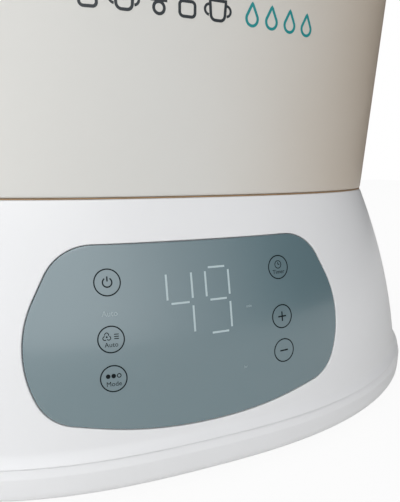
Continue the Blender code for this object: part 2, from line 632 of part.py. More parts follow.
def make_grip(body):
    """The lid's grip: a rounded section carried along an arch of power 3."""
    rings = []
    steps = 12
    foot = LID_BOTTOM_Z + LID_RISE - 0.2
    turns = [2 * math.pi * i / 12 for i in range(12)]
    for k in range(steps + 1):
        turn = math.pi * k / steps
        c, s = math.cos(turn), math.sin(turn)
        bend = (abs(c) ** 3 + abs(s) ** 3) ** (-1 / 3)
        rise = HANDLE_TOP_Z - GRIP_HALF - foot
        centre = Vector((-GRIP_REACH * c * bend, 0, foot + rise * s * bend))
        slope = Vector((GRIP_REACH * s, 0, (HANDLE_TOP_Z - foot) * c)).normalized()
        outward = Vector((-slope.z, 0, slope.x))
        if k in (0, steps):
            outward = Vector((-1 if k == 0 else 1, 0, 0))
        thick, wide = outward * GRIP_HALF, Vector((0, 11.0 - 1.5 * s, 0))
        rings.append([centre + thick * squared(math.cos(a)) + wide * squared(math.sin(a)) for a in turns])
    points, faces = skin(rings)
    grip = add("lid_handle", points, faces, "white_gloss", body)
    bores = [post_shape(x, 0, SCREW_HOLE_RADIUS, 320.0, 332.0) for x in (-GRIP_REACH, GRIP_REACH)]
    cut(grip, several("grip_bores", bores))


def make_lid(parent):
    """The clear domed lid with steam slots, its grip and the screws that hold it."""
    body = pivot("lid_lift")
    body.parent = parent
    shares = (0.0, 0.35, 0.62, 0.81, 0.93, 0.985)
    thickness = 2.2
    outer, inner = [], []
    for share in shares:
        for inset, rings in ((0.0, outer), (thickness, inner)):
            z = LID_BOTTOM_Z + (LID_RISE - inset) * share
            half = dome_half(z, inset)
            depth = half - (SLEEVE_TOP_HALF - inset) + (SLEEVE_TOP_HALF * PLAN_RATIO - inset)
            rings.append(plan_ring(half, depth, PLAN_POWER, z))
    outer.append(plan_ring(12.0, 10.0, 2.0, LID_BOTTOM_Z + LID_RISE))
    inner.append(plan_ring(12.0, 10.0, 2.0, LID_BOTTOM_Z + LID_RISE - thickness))
    points, faces = skin(list(reversed(outer)) + inner)
    lid = add("lid_shell", points, faces, "clear", body)
    vents = [block_shape((x - 1.5, -6.0, 318.0), (x + 1.5, 6.0, 330.0)) for x in (-12.0, 0.0, 12.0)]
    cut(lid, several("vents", vents))
    cut(lid, several("screw_holes", [post_shape(x, 0, 1.9, 318.0, 330.0) for x in (-GRIP_REACH, GRIP_REACH)]))
    make_grip(body)
    head = LID_BOTTOM_Z + LID_RISE - thickness - 1.8
    screw = ((3.4, head - 2.4), (3.6, head - 1.6), (3.4, head), (1.5, head), (1.5, head + 9.5))
    for number, x in enumerate((-GRIP_REACH, GRIP_REACH), 1):
        turned(f"handle_screw_{number}", screw, "steel", body, (x, 0, 0), sides=12)


def main():
    """Clears the scene and builds every piece."""
    for old in list(bpy.data.objects):
        bpy.data.objects.remove(old)
    make_housing()
    make_bottom_cover()
    make_fasteners_and_feet()
    make_control_parts()
    make_power_parts()
    make_heater()
    make_fan()
    make_filter()
    sleeve = make_sleeve()
    rack = make_bottle_rack(sleeve)
    tray = make_tray(rack)
    make_lid(tray)


main()
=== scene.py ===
"""Looks of a steam bottle sterilizer and dryer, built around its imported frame.

Sizes are in millimetres, and MM turns them into metres where a mesh is made. The front faces -Y.
"""
from __future__ import annotations

import json
import logging
import math
from dataclasses import dataclass, field
from enum import Enum
from typing import Callable, Sequence

import bmesh
import bpy
import numpy as np
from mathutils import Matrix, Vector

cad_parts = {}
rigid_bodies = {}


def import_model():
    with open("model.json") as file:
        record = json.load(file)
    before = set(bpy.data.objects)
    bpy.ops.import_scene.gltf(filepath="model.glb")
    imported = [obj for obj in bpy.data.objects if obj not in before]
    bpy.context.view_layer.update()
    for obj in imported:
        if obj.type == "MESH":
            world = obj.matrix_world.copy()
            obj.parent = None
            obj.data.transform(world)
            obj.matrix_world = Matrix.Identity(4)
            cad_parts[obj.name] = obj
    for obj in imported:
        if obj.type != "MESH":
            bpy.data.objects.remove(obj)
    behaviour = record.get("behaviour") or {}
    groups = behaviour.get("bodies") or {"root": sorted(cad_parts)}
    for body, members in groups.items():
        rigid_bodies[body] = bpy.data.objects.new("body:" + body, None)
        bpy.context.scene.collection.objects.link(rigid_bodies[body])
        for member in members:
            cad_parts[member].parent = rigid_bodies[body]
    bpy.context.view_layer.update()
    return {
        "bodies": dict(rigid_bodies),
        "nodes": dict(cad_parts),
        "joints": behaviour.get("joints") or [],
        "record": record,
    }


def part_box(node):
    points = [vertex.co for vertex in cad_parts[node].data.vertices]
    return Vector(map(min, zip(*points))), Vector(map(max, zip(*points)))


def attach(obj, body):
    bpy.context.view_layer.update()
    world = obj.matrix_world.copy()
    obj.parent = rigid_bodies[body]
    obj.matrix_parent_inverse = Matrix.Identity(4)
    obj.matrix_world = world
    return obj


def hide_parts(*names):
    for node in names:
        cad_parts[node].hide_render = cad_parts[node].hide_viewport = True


MM = 0.001
LOG = logging.getLogger("sterilizer")
Array = np.ndarray


# ---------------------------------------------------------------- surfaces

@dataclass(frozen=True)
class Patch:
    """A grid of points in millimetres, shaped (rows, columns, 3), that may close on itself either way."""

    points: Array
    wrap_rows: bool = False
    wrap_columns: bool = False

    def quads(self, start: int) -> Array:
        """Corner numbers of the grid's cells, row by row.

        Args:
            start: the number of the grid's first point.

        Returns:
            One row of four point numbers for each cell.
        """
        rows, columns = self.points.shape[:2]
        i = np.arange(rows if self.wrap_rows else rows - 1)[:, None]
        j = np.arange(columns if self.wrap_columns else columns - 1)[None, :]
        below, beside = (i + 1) % rows, (j + 1) % columns
        corners = (i * columns + j, i * columns + beside, below * columns + beside, below * columns + j)
        return start + np.stack([c.ravel() for c in corners], axis=1)


def build(name: str, patches: Sequence[Patch], sharp: float = 38.0) -> bpy.types.Object:
    """Welds patches into one smooth-shaded object whose faces point outwards.

    Args:
        name: the object's name.
        patches: the grids that together close a body, or several bodies.
        sharp: the angle in degrees above which an edge stays sharp.

    Returns:
        The new object, at the origin.
    """
    counts = [patch.points.shape[0] * patch.points.shape[1] for patch in patches]
    starts = np.concatenate([[0], np.cumsum(counts)[:-1]])
    points = np.concatenate([patch.points.reshape(-1, 3) for patch in patches]) * MM
    quads = np.concatenate([patch.quads(int(start)) for patch, start in zip(patches, starts)])
    mesh = bpy.data.meshes.new(name)
    mesh.from_pydata(points.tolist(), [], quads.tolist())
    work = bmesh.new()
    work.from_mesh(mesh)
    bmesh.ops.remove_doubles(work, verts=work.verts, dist=2e-6)
    bmesh.ops.recalc_face_normals(work, faces=work.faces)
    work.to_mesh(mesh)
    work.free()
    return show(name, mesh, sharp)


def show(name: str, mesh: bpy.types.Mesh, sharp: float = 38.0) -> bpy.types.Object:
    """Puts a mesh into the scene as a smooth-shaded object.

    Args:
        name: the object's name.
        mesh: its mesh, with places already in it.
        sharp: the angle in degrees above which an edge stays sharp.

    Returns:
        The object, at the origin.
    """
    mesh.shade_smooth()
    mesh.set_sharp_from_angle(angle=math.radians(sharp))
    made = bpy.data.objects.new(name, mesh)
    bpy.context.scene.collection.objects.link(made)
    return made


def carve(target: bpy.types.Object, patches: Sequence[Patch], sharp: float = 38.0) -> None:
    """Cuts closed patches out of an object.

    Args:
        target: the object to cut, which is given its new mesh.
        patches: the shape to remove.
        sharp: the angle in degrees above which an edge stays sharp.
    """
    tool = build(f"{target.name}_cutter", patches)
    step = target.modifiers.new("carve", "BOOLEAN")
    step.operation = "DIFFERENCE"
    step.object = tool
    graph = bpy.context.evaluated_depsgraph_get()
    mesh = bpy.data.meshes.new_from_object(target.evaluated_get(graph))
    target.modifiers.remove(step)
    target.data = mesh
    mesh.shade_smooth()
    mesh.set_sharp_from_angle(angle=math.radians(sharp))
    bpy.data.objects.remove(tool)


def block(low: Sequence[float], high: Sequence[float]) -> Patch:
    """A rectangular block as four columns, with its two ends drawn in to points.

    Args:
        low: its lowest corner.
        high: its highest corner.

    Returns:
        A closed patch.
    """
    x = np.array([low[0], high[0], high[0], low[0]])
    y = np.array([low[1], low[1], high[1], high[1]])
    middle = ((low[0] + high[0]) / 2, (low[1] + high[1]) / 2)
    rows = [np.stack([x, y, np.full(4, z)], axis=1) for z in (low[2], high[2])]
    ends = [np.tile((*middle, z), (4, 1)) for z in (low[2], high[2])]
    return Patch(np.stack([ends[0], rows[0], rows[1], ends[1]]), wrap_columns=True)


def filleted(corners: Sequence[tuple[float, float, float]], closed: bool = False, steps: int = 6,
             share: float = 0.49) -> Array:
    """A profile whose corners are rounded by arcs, with a supporting point beside each arc.

    Each arc touches both sides of its corner: it starts at radius / tan(half the corner's angle) from it.

    Args:
        corners: (across, up, radius) of each corner in order.
        closed: whether the last corner joins the first.
        steps: spans in each arc.
        share: the most of a side that one arc may take.

    Returns:
        The profile's points, one (across, up) row each.
    """
    spots = np.array([corner[:2] for corner in corners], float)
    count = len(spots)
    path: list[Array] = []
    for index, (_, _, radius) in enumerate(corners):
        here = spots[index]
        if radius <= 0 or (not closed and index in (0, count - 1)):
            path.append(here[None])
            continue
        back, ahead = spots[index - 1] - here, spots[(index + 1) % count] - here
        back_length, ahead_length = np.linalg.norm(back), np.linalg.norm(ahead)
        u, v = back / back_length, ahead / ahead_length
        half = math.acos(float(np.clip(u @ v, -1, 1))) / 2
        reach = min(radius / math.tan(half), share * back_length, share * ahead_length)
        turn = np.linspace(0, 1, steps + 1)[:, None]
        radius = reach * math.tan(half)
        centre = here + (u + v) / np.linalg.norm(u + v) * radius / math.sin(half)
        first, last = here + u * reach - centre, here + v * reach - centre
        sweep = math.pi - 2 * half
        arc = (np.sin((1 - turn) * sweep) * first + np.sin(turn * sweep) * last) / math.sin(sweep)
        support = min(0.6 * reach + 0.15, 0.45 * back_length, 0.45 * ahead_length)
        if back_length > 2.2 * (reach + support):
            path.append((here + u * (reach + support))[None])
        path.append(centre + arc)
        if ahead_length > 2.2 * (reach + support):
            path.append((here + v * (reach + support))[None])
    return np.concatenate(path)


def spun(profile: Array, centre: Sequence[float] = (0, 0, 0), sides: int = 64, closed: bool = False) -> Patch:
    """A turned surface: each (radius, height) point of the profile goes once round the Z axis.

    Args:
        profile: (radius, height) rows; an open profile starts and ends on the axis.
        centre: where its axis meets height zero.
        sides: points in each ring.
        closed: whether the profile is a loop, as for a tube.

    Returns:
        The patch.
    """
    turn = np.linspace(0, 2 * np.pi, sides, endpoint=False)
    radius, up = profile[:, :1], profile[:, 1:]
    x, y = radius * np.cos(turn), radius * np.sin(turn)
    points = np.stack([x, y, np.broadcast_to(up, x.shape)], axis=-1) + np.asarray(centre, float)
    return Patch(points, wrap_rows=closed, wrap_columns=True)


def along_y(patch: Patch, centre: Sequence[float]) -> Patch:
    """The same patch turned so that its axis runs along +Y from centre: (x, y, z) becomes (x, z, -y)."""
    x, y, z = np.moveaxis(patch.points, -1, 0)
    turned = np.stack([x, z, -y], axis=-1) + np.asarray(centre, float)
    return Patch(turned, patch.wrap_rows, patch.wrap_columns)


class Plan:
    """The object's plan, |x/a|^n + |y/b|^n = 1, read by the run along it from the middle of the front.

    The run is measured on the plan of half width 1, so it scales with the half width.
    """

    ratio = 0.8
    power = 2.5

    def __init__(self, samples: int = 60001) -> None:
        """Tabulates the curve: sin and cos of a turn, each times (|sin|^n + |cos|^n)^(-1/n).

        Args:
            samples: points in the table.
        """
        turn = np.linspace(0, np.pi, samples)
        s, c = np.sin(turn), np.cos(turn)
        reach = (np.abs(s) ** self.power + np.abs(c) ** self.power) ** (-1 / self.power)
        self._across, self._back = s * reach, -c * reach
        step = np.hypot(np.diff(self._across), self.ratio * np.diff(self._back))
        self._run = np.concatenate([[0.0], np.cumsum(step)])
        self.half_run = float(self._run[-1])

    def unit(self, run: Array) -> tuple[Array, Array]:
        """The curve's place at a run, as shares of the half width and of the half depth.

        Args:
            run: run from the front's middle, positive towards +X.

        Returns:
            (share of half width, share of half depth), each from -1 to 1.
        """
        wrapped = (run + self.half_run) % (2 * self.half_run) - self.half_run
        size = np.abs(wrapped)
        across = np.sign(wrapped) * np.interp(size, self._run, self._across)
        return across, np.interp(size, self._run, self._back)

    def loft(self, sections: Array, runs: Array) -> Patch:
        """Rings of the plan: a section's half sizes times the unit curve, at its height.

        Args:
            sections: (half width, half depth, height) rows.
            runs: where each ring has its points.

        Returns:
            A patch closed round the plan.
        """
        across, back = self.unit(runs)
        x, y = sections[:, :1] * across, sections[:, 1:2] * back
        points = np.stack([x, y, np.broadcast_to(sections[:, 2:], x.shape)], axis=-1)
        return Patch(points, wrap_columns=True)

    def even(self, count: int) -> Array:
        """Runs of equal steps once round the plan."""
        return np.linspace(-self.half_run, self.half_run, count, endpoint=False)


PLAN = Plan()


def ringed(profile: Array, half: Callable[[Array], Array]) -> Array:
    """Plan sections from a profile of insets: both half sizes lose the inset.

    Args:
        profile: (inset, height) rows.
        half: the outline's half width at a height.

    Returns:
        (half width, half depth, height) rows for Plan.loft.
    """
    inset, z = profile[:, 0], profile[:, 1]
    width = half(z)
    return np.stack([width - inset, width * PLAN.ratio - inset, z], axis=1)


@dataclass(frozen=True)
class Wall:
    """A wall round the plan: its half width tapers straight and swells by a parabola between."""

    low: float
    high: float
    half_low: float
    half_high: float
    swell: float = 0.0

    def half(self, z: Array) -> Array:
        """Half width at a height: taper plus swell * t * (1 - t), with t from 0 at the top to 1 below."""
        t = (self.high - z) / (self.high - self.low)
        return self.half_high + (self.half_low - self.half_high) * t + self.swell * t * (1 - t)

    def place(self, along: Array, z: Array, offset: Array, start: float = 0.0) -> Array:
        """Points on the wall, moved along its true normal.

        The normal is the gradient of |x/w|^n + |y/(r w)|^n with w growing by its slope over height.

        Args:
            along: distance along the wall from where the run is start.
            z: height.
            offset: distance outside the wall.
            start: run of the patch's middle, 0 in front.

        Returns:
            Points, with x, y and z last.
        """
        width = self.half(z)
        u, v = PLAN.unit(start + along / width)
        slope = (self.half(z + 0.01) - self.half(z - 0.01)) / 0.02
        sharp = PLAN.power - 1
        normal = np.stack(np.broadcast_arrays(
            np.sign(u) * np.abs(u) ** sharp, np.sign(v) * np.abs(v) ** sharp / PLAN.ratio, -slope), axis=-1)
        normal = normal / np.linalg.norm(normal, axis=-1, keepdims=True)
        spot = np.stack(np.broadcast_arrays(width * u, PLAN.ratio * width * v, z), axis=-1)
        return spot + normal * np.asarray(offset)[..., None]


@dataclass(frozen=True)
class Opening:
    """A hole in a wall, with an outline seen from its centre and a patch of wall that surrounds it."""

    outline: Array
    centre: float
    start: float
    reach: float

    def edge(self, turn: Array, grow: float = 0.0) -> tuple[Array, Array]:
        """Points of the outline at directions from its centre, read from its sides cut into short steps.

        Args:
            turn: direction in radians, 0 along the wall and a quarter turn upwards.
            grow: distance added to the outline, negative to shrink it.

        Returns:
            (along, height).
        """
        ends = np.stack([self.outline, np.roll(self.outline, -1, axis=0)])
        share = np.linspace(0, 1, 40, endpoint=False)[:, None, None]
        fine = np.transpose(ends[0] * (1 - share) + ends[1] * share, (1, 0, 2)).reshape(-1, 2)
        along, up = fine[:, 0], fine[:, 1] - self.centre
        table = np.interp(turn, np.arctan2(up, along), np.hypot(along, up), period=2 * np.pi) + grow
        return table * np.cos(turn), self.centre + table * np.sin(turn)

    def surround(self, wall: Wall, heights: Array, columns: int, section: Sequence[tuple[float, ...]],
                 lift: Callable[[Array], Array]) -> Patch:
        """The wall round the hole: rows go from the patch's border to the outline and through the edge.

        Between the outline and the border a point is their mean, weighted by the row's share.

        Args:
            wall: the wall.
            heights: heights of the border's points on its two upright sides.
            columns: spans of the border's level sides.
            section: (share of the way to the border, growth of the outline, offset, 1 if on the inner face).
            lift: maps a height on the outer face to one on the inner face.

        Returns:
            The patch, closed round the hole.
        """
        level = np.linspace(-self.reach, self.reach, columns + 1)
        up, down = heights, heights[::-1]
        run = np.concatenate([level[:-1], np.full(len(up) - 1, self.reach), level[:0:-1],
                              np.full(len(up) - 1, -self.reach)])
        z = np.concatenate([np.full(columns, up[0]), up[:-1], np.full(columns, up[-1]), down[:-1]])
        along = run * wall.half(z)
        turn = np.arctan2(z - self.centre, along)
        rows = []
        for share, grow, offset, inner in section:
            edge_along, edge_z = self.edge(turn, grow)
            border_z = lift(z) if inner else z
            border_along = run * wall.half(border_z)
            row_along = edge_along + (border_along - edge_along) * share
            row_z = edge_z + (border_z - edge_z) * share
            rows.append(wall.place(row_along, row_z, np.full(len(z), offset), self.start))
        return Patch(np.stack(rows), wrap_columns=True)


def rounded_polygon(corners: Sequence[tuple[float, float, float]], steps: int = 24) -> Array:
    """A closed outline, symmetric left to right, from its right-hand corners, top first."""
    mirrored = [(-x, z, radius) for x, z, radius in reversed(corners) if x > 0]
    return filleted([*corners, *mirrored], closed=True, steps=steps, share=1.0)


# ---------------------------------------------------------------- finishes

class Graph:
    """A short way to write a node tree."""

    def __init__(self, tree: bpy.types.NodeTree) -> None:
        """Keeps the tree that nodes are added to."""
        self.tree = tree

    def add(self, kind: str, settings: dict | None = None, **inputs: object) -> bpy.types.Node:
        """Adds a node, sets it up and feeds its inputs.

        Args:
            kind: the node's type name without the ShaderNode prefix.
            settings: the node's own properties.
            inputs: values or output sockets, by input name with _ for a space, or in_0 for a number.

        Returns:
            The node.
        """
        node = self.tree.nodes.new(f"ShaderNode{kind}")
        for key, value in (settings or {}).items():
            setattr(node, key, value)
        for key, value in inputs.items():
            name = int(key[3:]) if key.startswith("in_") else key.replace("_", " ")
            socket = node.inputs[name]
            if isinstance(value, bpy.types.NodeSocket):
                self.tree.links.new(value, socket)
            else:
                socket.default_value = value
        return node

    def math(self, operation: str, first: object, second: object = 0.0, clamp: bool = False) -> object:
        """The output of a Math node."""
        node = self.add("Math", {"operation": operation, "use_clamp": clamp}, in_0=first, in_1=second)
        return node.outputs[0]

    def mix(self, share: object, first: object, second: object, blend: str = "MIX") -> object:
        """The colour output of a Mix node; its two colours are inputs 6 and 7."""
        settings = {"data_type": "RGBA", "blend_type": blend}
        node = self.add("Mix", settings, in_0=share, in_6=first, in_7=second)
        return node.outputs[2]


def node_group(name: str, inputs: dict[str, object], outputs: dict[str, str],
               fill: Callable[[Graph, dict, dict], None]) -> bpy.types.NodeTree:
    """A shader node group, built once under its name.

    Args:
        name: the group's name.
        inputs: default value of each input; a tuple is a colour and a number is a value.
        outputs: kind of each output, Color or Float.
        fill: adds the nodes, given the graph, the input sockets and a dict for the output values.

    Returns:
        The group.
    """
    found = bpy.data.node_groups.get(name)
    if found:
        return found
    tree = bpy.data.node_groups.new(name, "ShaderNodeTree")
    for label, value in inputs.items():
        kind = "NodeSocketColor" if isinstance(value, tuple) else "NodeSocketFloat"
        tree.interface.new_socket(label, in_out="INPUT", socket_type=kind).default_value = value
    for label, kind in outputs.items():
        tree.interface.new_socket(label, in_out="OUTPUT", socket_type=f"NodeSocket{kind}")
    source = tree.nodes.new("NodeGroupInput")
    sink = tree.nodes.new("NodeGroupOutput")
    results: dict[str, object] = {}
    fill(Graph(tree), {label: source.outputs[label] for label in inputs}, results)
    for label, socket in results.items():
        tree.links.new(socket, sink.inputs[label])
    return tree


def fill_moulded(graph: Graph, given: dict, out: dict) -> None:
    """Moulded plastic: slow drifts of shade, uneven gloss and a very fine grain."""
    place = graph.add("TexCoord").outputs["Object"]
    drift = graph.add("TexNoise", Vector=place, Scale=given["Drift scale"], Detail=3.0).outputs["Fac"]
    shade = graph.math("MULTIPLY", graph.math("SUBTRACT", drift, 0.5), given["Drift"])
    grey = graph.add("CombineColor", in_0=graph.math("ADD", 1.0, shade), in_1=graph.math("ADD", 1.0, shade),
                     in_2=graph.math("ADD", 1.0, graph.math("MULTIPLY", shade, 1.25))).outputs[0]
    out["Color"] = graph.mix(1.0, given["Color"], grey, "MULTIPLY")
    smear = graph.add("TexNoise", Vector=place, Scale=24.0, Detail=4.0, Distortion=0.6).outputs["Fac"]
    uneven = graph.math("MULTIPLY", graph.math("SUBTRACT", smear, 0.5), given["Gloss spread"])
    out["Roughness"] = graph.math("ADD", given["Roughness"], uneven, clamp=True)
    fine = graph.add("TexNoise", Vector=place, Scale=given["Grain scale"], Detail=2.0).outputs["Fac"]
    slow = graph.add("TexNoise", Vector=place, Scale=35.0, Detail=1.0).outputs["Fac"]
    out["Height"] = graph.math("ADD", fine, graph.math("MULTIPLY", slow, given["Waviness"]))


def fill_specks(graph: Graph, given: dict, out: dict) -> None:
    """Sparse small marks: round cells of a Voronoi pattern, kept where a second pattern is high."""
    place = graph.add("TexCoord").outputs["Object"]
    cells = graph.add("TexVoronoi", Vector=place, Scale=given["Scale"])
    size = graph.math("MULTIPLY", cells.outputs["Color"], given["Size"])
    dot = graph.math("SUBTRACT", 1.0, graph.math("DIVIDE", cells.outputs["Distance"], size), clamp=True)
    chance = graph.add("TexWhiteNoise", {"noise_dimensions": "3D"}, Vector=cells.outputs["Position"])
    kept = graph.math("LESS_THAN", chance.outputs["Value"], given["Share"])
    out["Mask"] = graph.math("MULTIPLY", graph.math("MULTIPLY", dot, kept), given["Strength"])


def fill_brushed(graph: Graph, given: dict, out: dict) -> None:
    """Fine scratches: noise stretched along one axis, with a few wider ones over it."""
    place = graph.add("TexCoord").outputs["Object"]
    fine = graph.add("Mapping", Vector=place, Scale=(30.0, 2600.0, 900.0)).outputs[0]
    wide = graph.add("Mapping", Vector=place, Scale=(12.0, 700.0, 400.0)).outputs[0]
    scratch = graph.add("TexNoise", Vector=fine, Scale=1.0, Detail=3.0).outputs["Fac"]
    streak = graph.add("TexNoise", Vector=wide, Scale=1.0, Detail=1.0).outputs["Fac"]
    both = graph.math("ADD", graph.math("MULTIPLY", scratch, 0.6), graph.math("MULTIPLY", streak, 0.4))
    out["Roughness"] = graph.math("ADD", given["Roughness"], graph.math("MULTIPLY", both, 0.16))
    grey = graph.add("CombineColor", in_0=both, in_1=both, in_2=both).outputs[0]
    out["Color"] = graph.mix(0.25, given["Color"], graph.mix(1.0, given["Color"], grey, "MULTIPLY"))
    out["Height"] = both


MOULDED_IN = {"Color": (0.8, 0.8, 0.8, 1.0), "Drift": 0.05, "Drift scale": 9.0, "Roughness": 0.3,
              "Gloss spread": 0.1, "Grain scale": 2600.0, "Waviness": 0.5}
SPECK_IN = {"Scale": 220.0, "Size": 0.12, "Share": 0.02, "Strength": 0.6}
BRUSHED_IN = {"Color": (0.6, 0.6, 0.6, 1.0), "Roughness": 0.22}
PATTERN_OUT = {"Color": "Color", "Roughness": "Float", "Height": "Float"}


class Grain(Enum):
    """The pattern that a finish is built on."""

    MOULDED = "moulded"
    BRUSHED = "brushed"


@dataclass(frozen=True)
class Finish:
    """A surface finish, with how much its colour and gloss wander."""

    name: str
    color: tuple[float, float, float]
    roughness: float = 0.3
    metallic: float = 0.0
    coat: float = 0.0
    coat_roughness: float = 0.05
    drift: float = 0.05
    drift_scale: float = 9.0
    gloss_spread: float = 0.1
    grain_scale: float = 2600.0
    grain_depth: float = 0.02
    waviness: float = 0.5
    speck_color: tuple[float, float, float] = (0.16, 0.14, 0.12)
    speck_share: float = 0.0
    speck_strength: float = 0.6
    transmission: float = 0.0
    specular: float = 0.5
    glow: float = 0.0
    # Painted shade: a darker, warm tint laid on towards +X, standing in for light that falls off on that
    # side.
    painted_shade: float = 0.0
    painted_shade_color: tuple[float, float, float] = (0.56, 0.45, 0.34)
    painted_shade_span: tuple[float, float] = (0.0, 0.135)
    grain: Grain = Grain.MOULDED

    def material(self) -> bpy.types.Material:
        """The material, built once: pattern group into the shader, with specks over the colour."""
        found = bpy.data.materials.get(self.name)
        if found:
            return found
        made = bpy.data.materials.new(self.name)
        made.use_nodes = True
        graph = Graph(made.node_tree)
        shader = made.node_tree.nodes["Principled BSDF"]
        shader.inputs["Metallic"].default_value = self.metallic
        shader.inputs["Coat Weight"].default_value = self.coat
        shader.inputs["Coat Roughness"].default_value = self.coat_roughness
        shader.inputs["Transmission Weight"].default_value = self.transmission
        shader.inputs["Specular IOR Level"].default_value = self.specular
        pattern = self._pattern(graph)
        color = pattern.outputs["Color"]
        if self.speck_share > 0:
            group = node_group("specks", SPECK_IN, {"Mask": "Float"}, fill_specks)
            specks = graph.add("Group", {"node_tree": group}, Share=self.speck_share,
                               Strength=self.speck_strength)
            color = graph.mix(specks.outputs["Mask"], color, (*self.speck_color, 1.0))
        # Painted shade on the side away from the light, a darker warm tint along +X.
        if self.painted_shade > 0:
            color = self._painted_shade(graph, color)
        links = made.node_tree.links
        links.new(color, shader.inputs["Base Color"])
        links.new(pattern.outputs["Roughness"], shader.inputs["Roughness"])
        bump = graph.add("Bump", Strength=self.grain_depth, Distance=0.001, Height=pattern.outputs["Height"])
        links.new(bump.outputs["Normal"], shader.inputs["Normal"])
        if self.glow > 0:
            links.new(color, shader.inputs["Emission Color"])
            shader.inputs["Emission Strength"].default_value = self.glow
        return made

    def _painted_shade(self, graph: Graph, color: object) -> object:
        """The colour with painted shade on the right-hand side: a smooth step along X to a darker, warm tint,
        broken up by noise.
        """
        place = graph.add("TexCoord").outputs["Object"]
        across = graph.add("SeparateXYZ", Vector=place).outputs[0]
        uneven = graph.math("MULTIPLY", graph.add("TexNoise", Vector=place, Scale=11.0).outputs["Fac"], 0.03)
        step = graph.add("MapRange", {"interpolation_type": "SMOOTHSTEP"},
                         in_0=graph.math("ADD", across, uneven), in_1=self.painted_shade_span[0],
                         in_2=self.painted_shade_span[1], in_3=0.0, in_4=self.painted_shade)
        return graph.mix(step.outputs[0], color, (*self.painted_shade_color, 1.0))

    def _pattern(self, graph: Graph) -> bpy.types.Node:
        """The group node that the finish is built on."""
        tint = (*self.color, 1.0)
        if self.grain is Grain.BRUSHED:
            group = node_group("brushed", BRUSHED_IN, PATTERN_OUT, fill_brushed)
            return graph.add("Group", {"node_tree": group}, Color=tint, Roughness=self.roughness)
        group = node_group("moulded", MOULDED_IN, PATTERN_OUT, fill_moulded)
        return graph.add("Group", {"node_tree": group}, Color=tint, Drift=self.drift,
                         Drift_scale=self.drift_scale, Roughness=self.roughness,
                         Gloss_spread=self.gloss_spread, Grain_scale=self.grain_scale,
                         Waviness=self.waviness)


WHITE_GLOSS = Finish("white_gloss_plastic", (0.80, 0.80, 0.81), 0.3, drift=0.03, gloss_spread=0.06,
                     grain_depth=0.012)
# The sleeve gets painted shade on its right-hand side, a darker warm tint along +X.
CREAM_SHELL = Finish("cream_shell_plastic", (0.70, 0.69, 0.66), 0.36, drift=0.05, drift_scale=6.0,
                     grain_depth=0.02, waviness=1.2, speck_share=0.03, speck_strength=0.55, painted_shade=0.9)
PANEL_GLOSS = Finish("panel_grey_lens", (0.126, 0.194, 0.218), 0.24, coat=1.0, coat_roughness=0.12,
                     specular=1.0, drift=0.05, drift_scale=14.0, gloss_spread=0.04,
                     grain_depth=0.003, waviness=1.5)
INK_DARK = Finish("printed_ink_dark", (0.004, 0.008, 0.010), 0.5, drift=0.1, grain_depth=0.01, specular=0.1)
INK_FAINT = Finish("printed_ink_faint", (0.32, 0.40, 0.42), 0.3, drift=0.1, grain_depth=0.01)
INK_CHARCOAL = Finish("print_charcoal", (0.018, 0.024, 0.030), 0.34, drift=0.1, grain_depth=0.01)
INK_TEAL = Finish("print_teal", (0.012, 0.26, 0.27), 0.34, drift=0.1, grain_depth=0.01)
LIT_SEGMENT = Finish("lit_segment", (0.38, 0.46, 0.48), 0.4, drift=0.04, grain_depth=0.01, glow=0.2)
SILICONE_TAN = Finish("silicone_tan", (0.36, 0.23, 0.12), 0.55, drift=0.15, grain_depth=0.05)
RACK_WHITE = Finish("rack_white_plastic", (0.78, 0.78, 0.76), 0.42, drift=0.04, grain_depth=0.03)
RUBBER_BLACK = Finish("rubber_black", (0.022, 0.022, 0.024), 0.75, drift=0.3, drift_scale=40.0,
                      grain_scale=3800.0, grain_depth=0.12)
PLASTIC_BLACK = Finish("plastic_black", (0.028, 0.028, 0.030), 0.45, drift=0.2, grain_depth=0.06)
BOARD_GREEN = Finish("board_green", (0.016, 0.11, 0.055), 0.38, drift=0.35, drift_scale=160.0,
                     grain_scale=900.0, grain_depth=0.08, speck_color=(0.5, 0.42, 0.2), speck_share=0.3)
STEEL = Finish("steel_brushed", (0.62, 0.62, 0.63), 0.22, metallic=1.0, grain_depth=0.05, grain=Grain.BRUSHED)
FILTER_PAPER = Finish("filter_paper", (0.74, 0.75, 0.73), 0.9, drift=0.12, drift_scale=60.0,
                      grain_scale=1400.0, grain_depth=0.4, speck_share=0.1, speck_strength=0.3)
CLEAR = Finish("clear_plastic", (0.93, 0.96, 0.97), 0.04, drift=0.01, gloss_spread=0.02, grain_depth=0.002,
               waviness=2.0, transmission=1.0)


def finish_piece(piece: bpy.types.Object, finish: Finish, body: str,
                 replaces: Sequence[str] = ()) -> bpy.types.Object:
    """Gives a new piece its material, its body and the nodes that it stands for.

    Args:
        piece: the object.
        finish: its finish.
        body: the body that it rides on.
        replaces: CAD nodes that it stands for.

    Returns:
        The same object.
    """
    piece.data.materials.clear()
    piece.data.materials.append(finish.material())
    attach(piece, body)
    if replaces:
        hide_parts(*replaces)
    LOG.info("%s rides on %s, %d faces", piece.name, body, len(piece.data.polygons))
    return piece


def dress_node(frame: dict, node: str, finish: Finish) -> None:
    """Gives a carried-over node a finish."""
    slots = frame["nodes"][node].material_slots
    for slot in slots:
        slot.material = finish.material()
    LOG.info("%s keeps its shape, as %s", node, finish.name)


def corners(node: str) -> tuple[Array, Array]:
    """A node's lowest and highest corners, in millimetres."""
    low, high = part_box(node)
    return np.array(low) / MM, np.array(high) / MM


# ---------------------------------------------------------------- printed marks

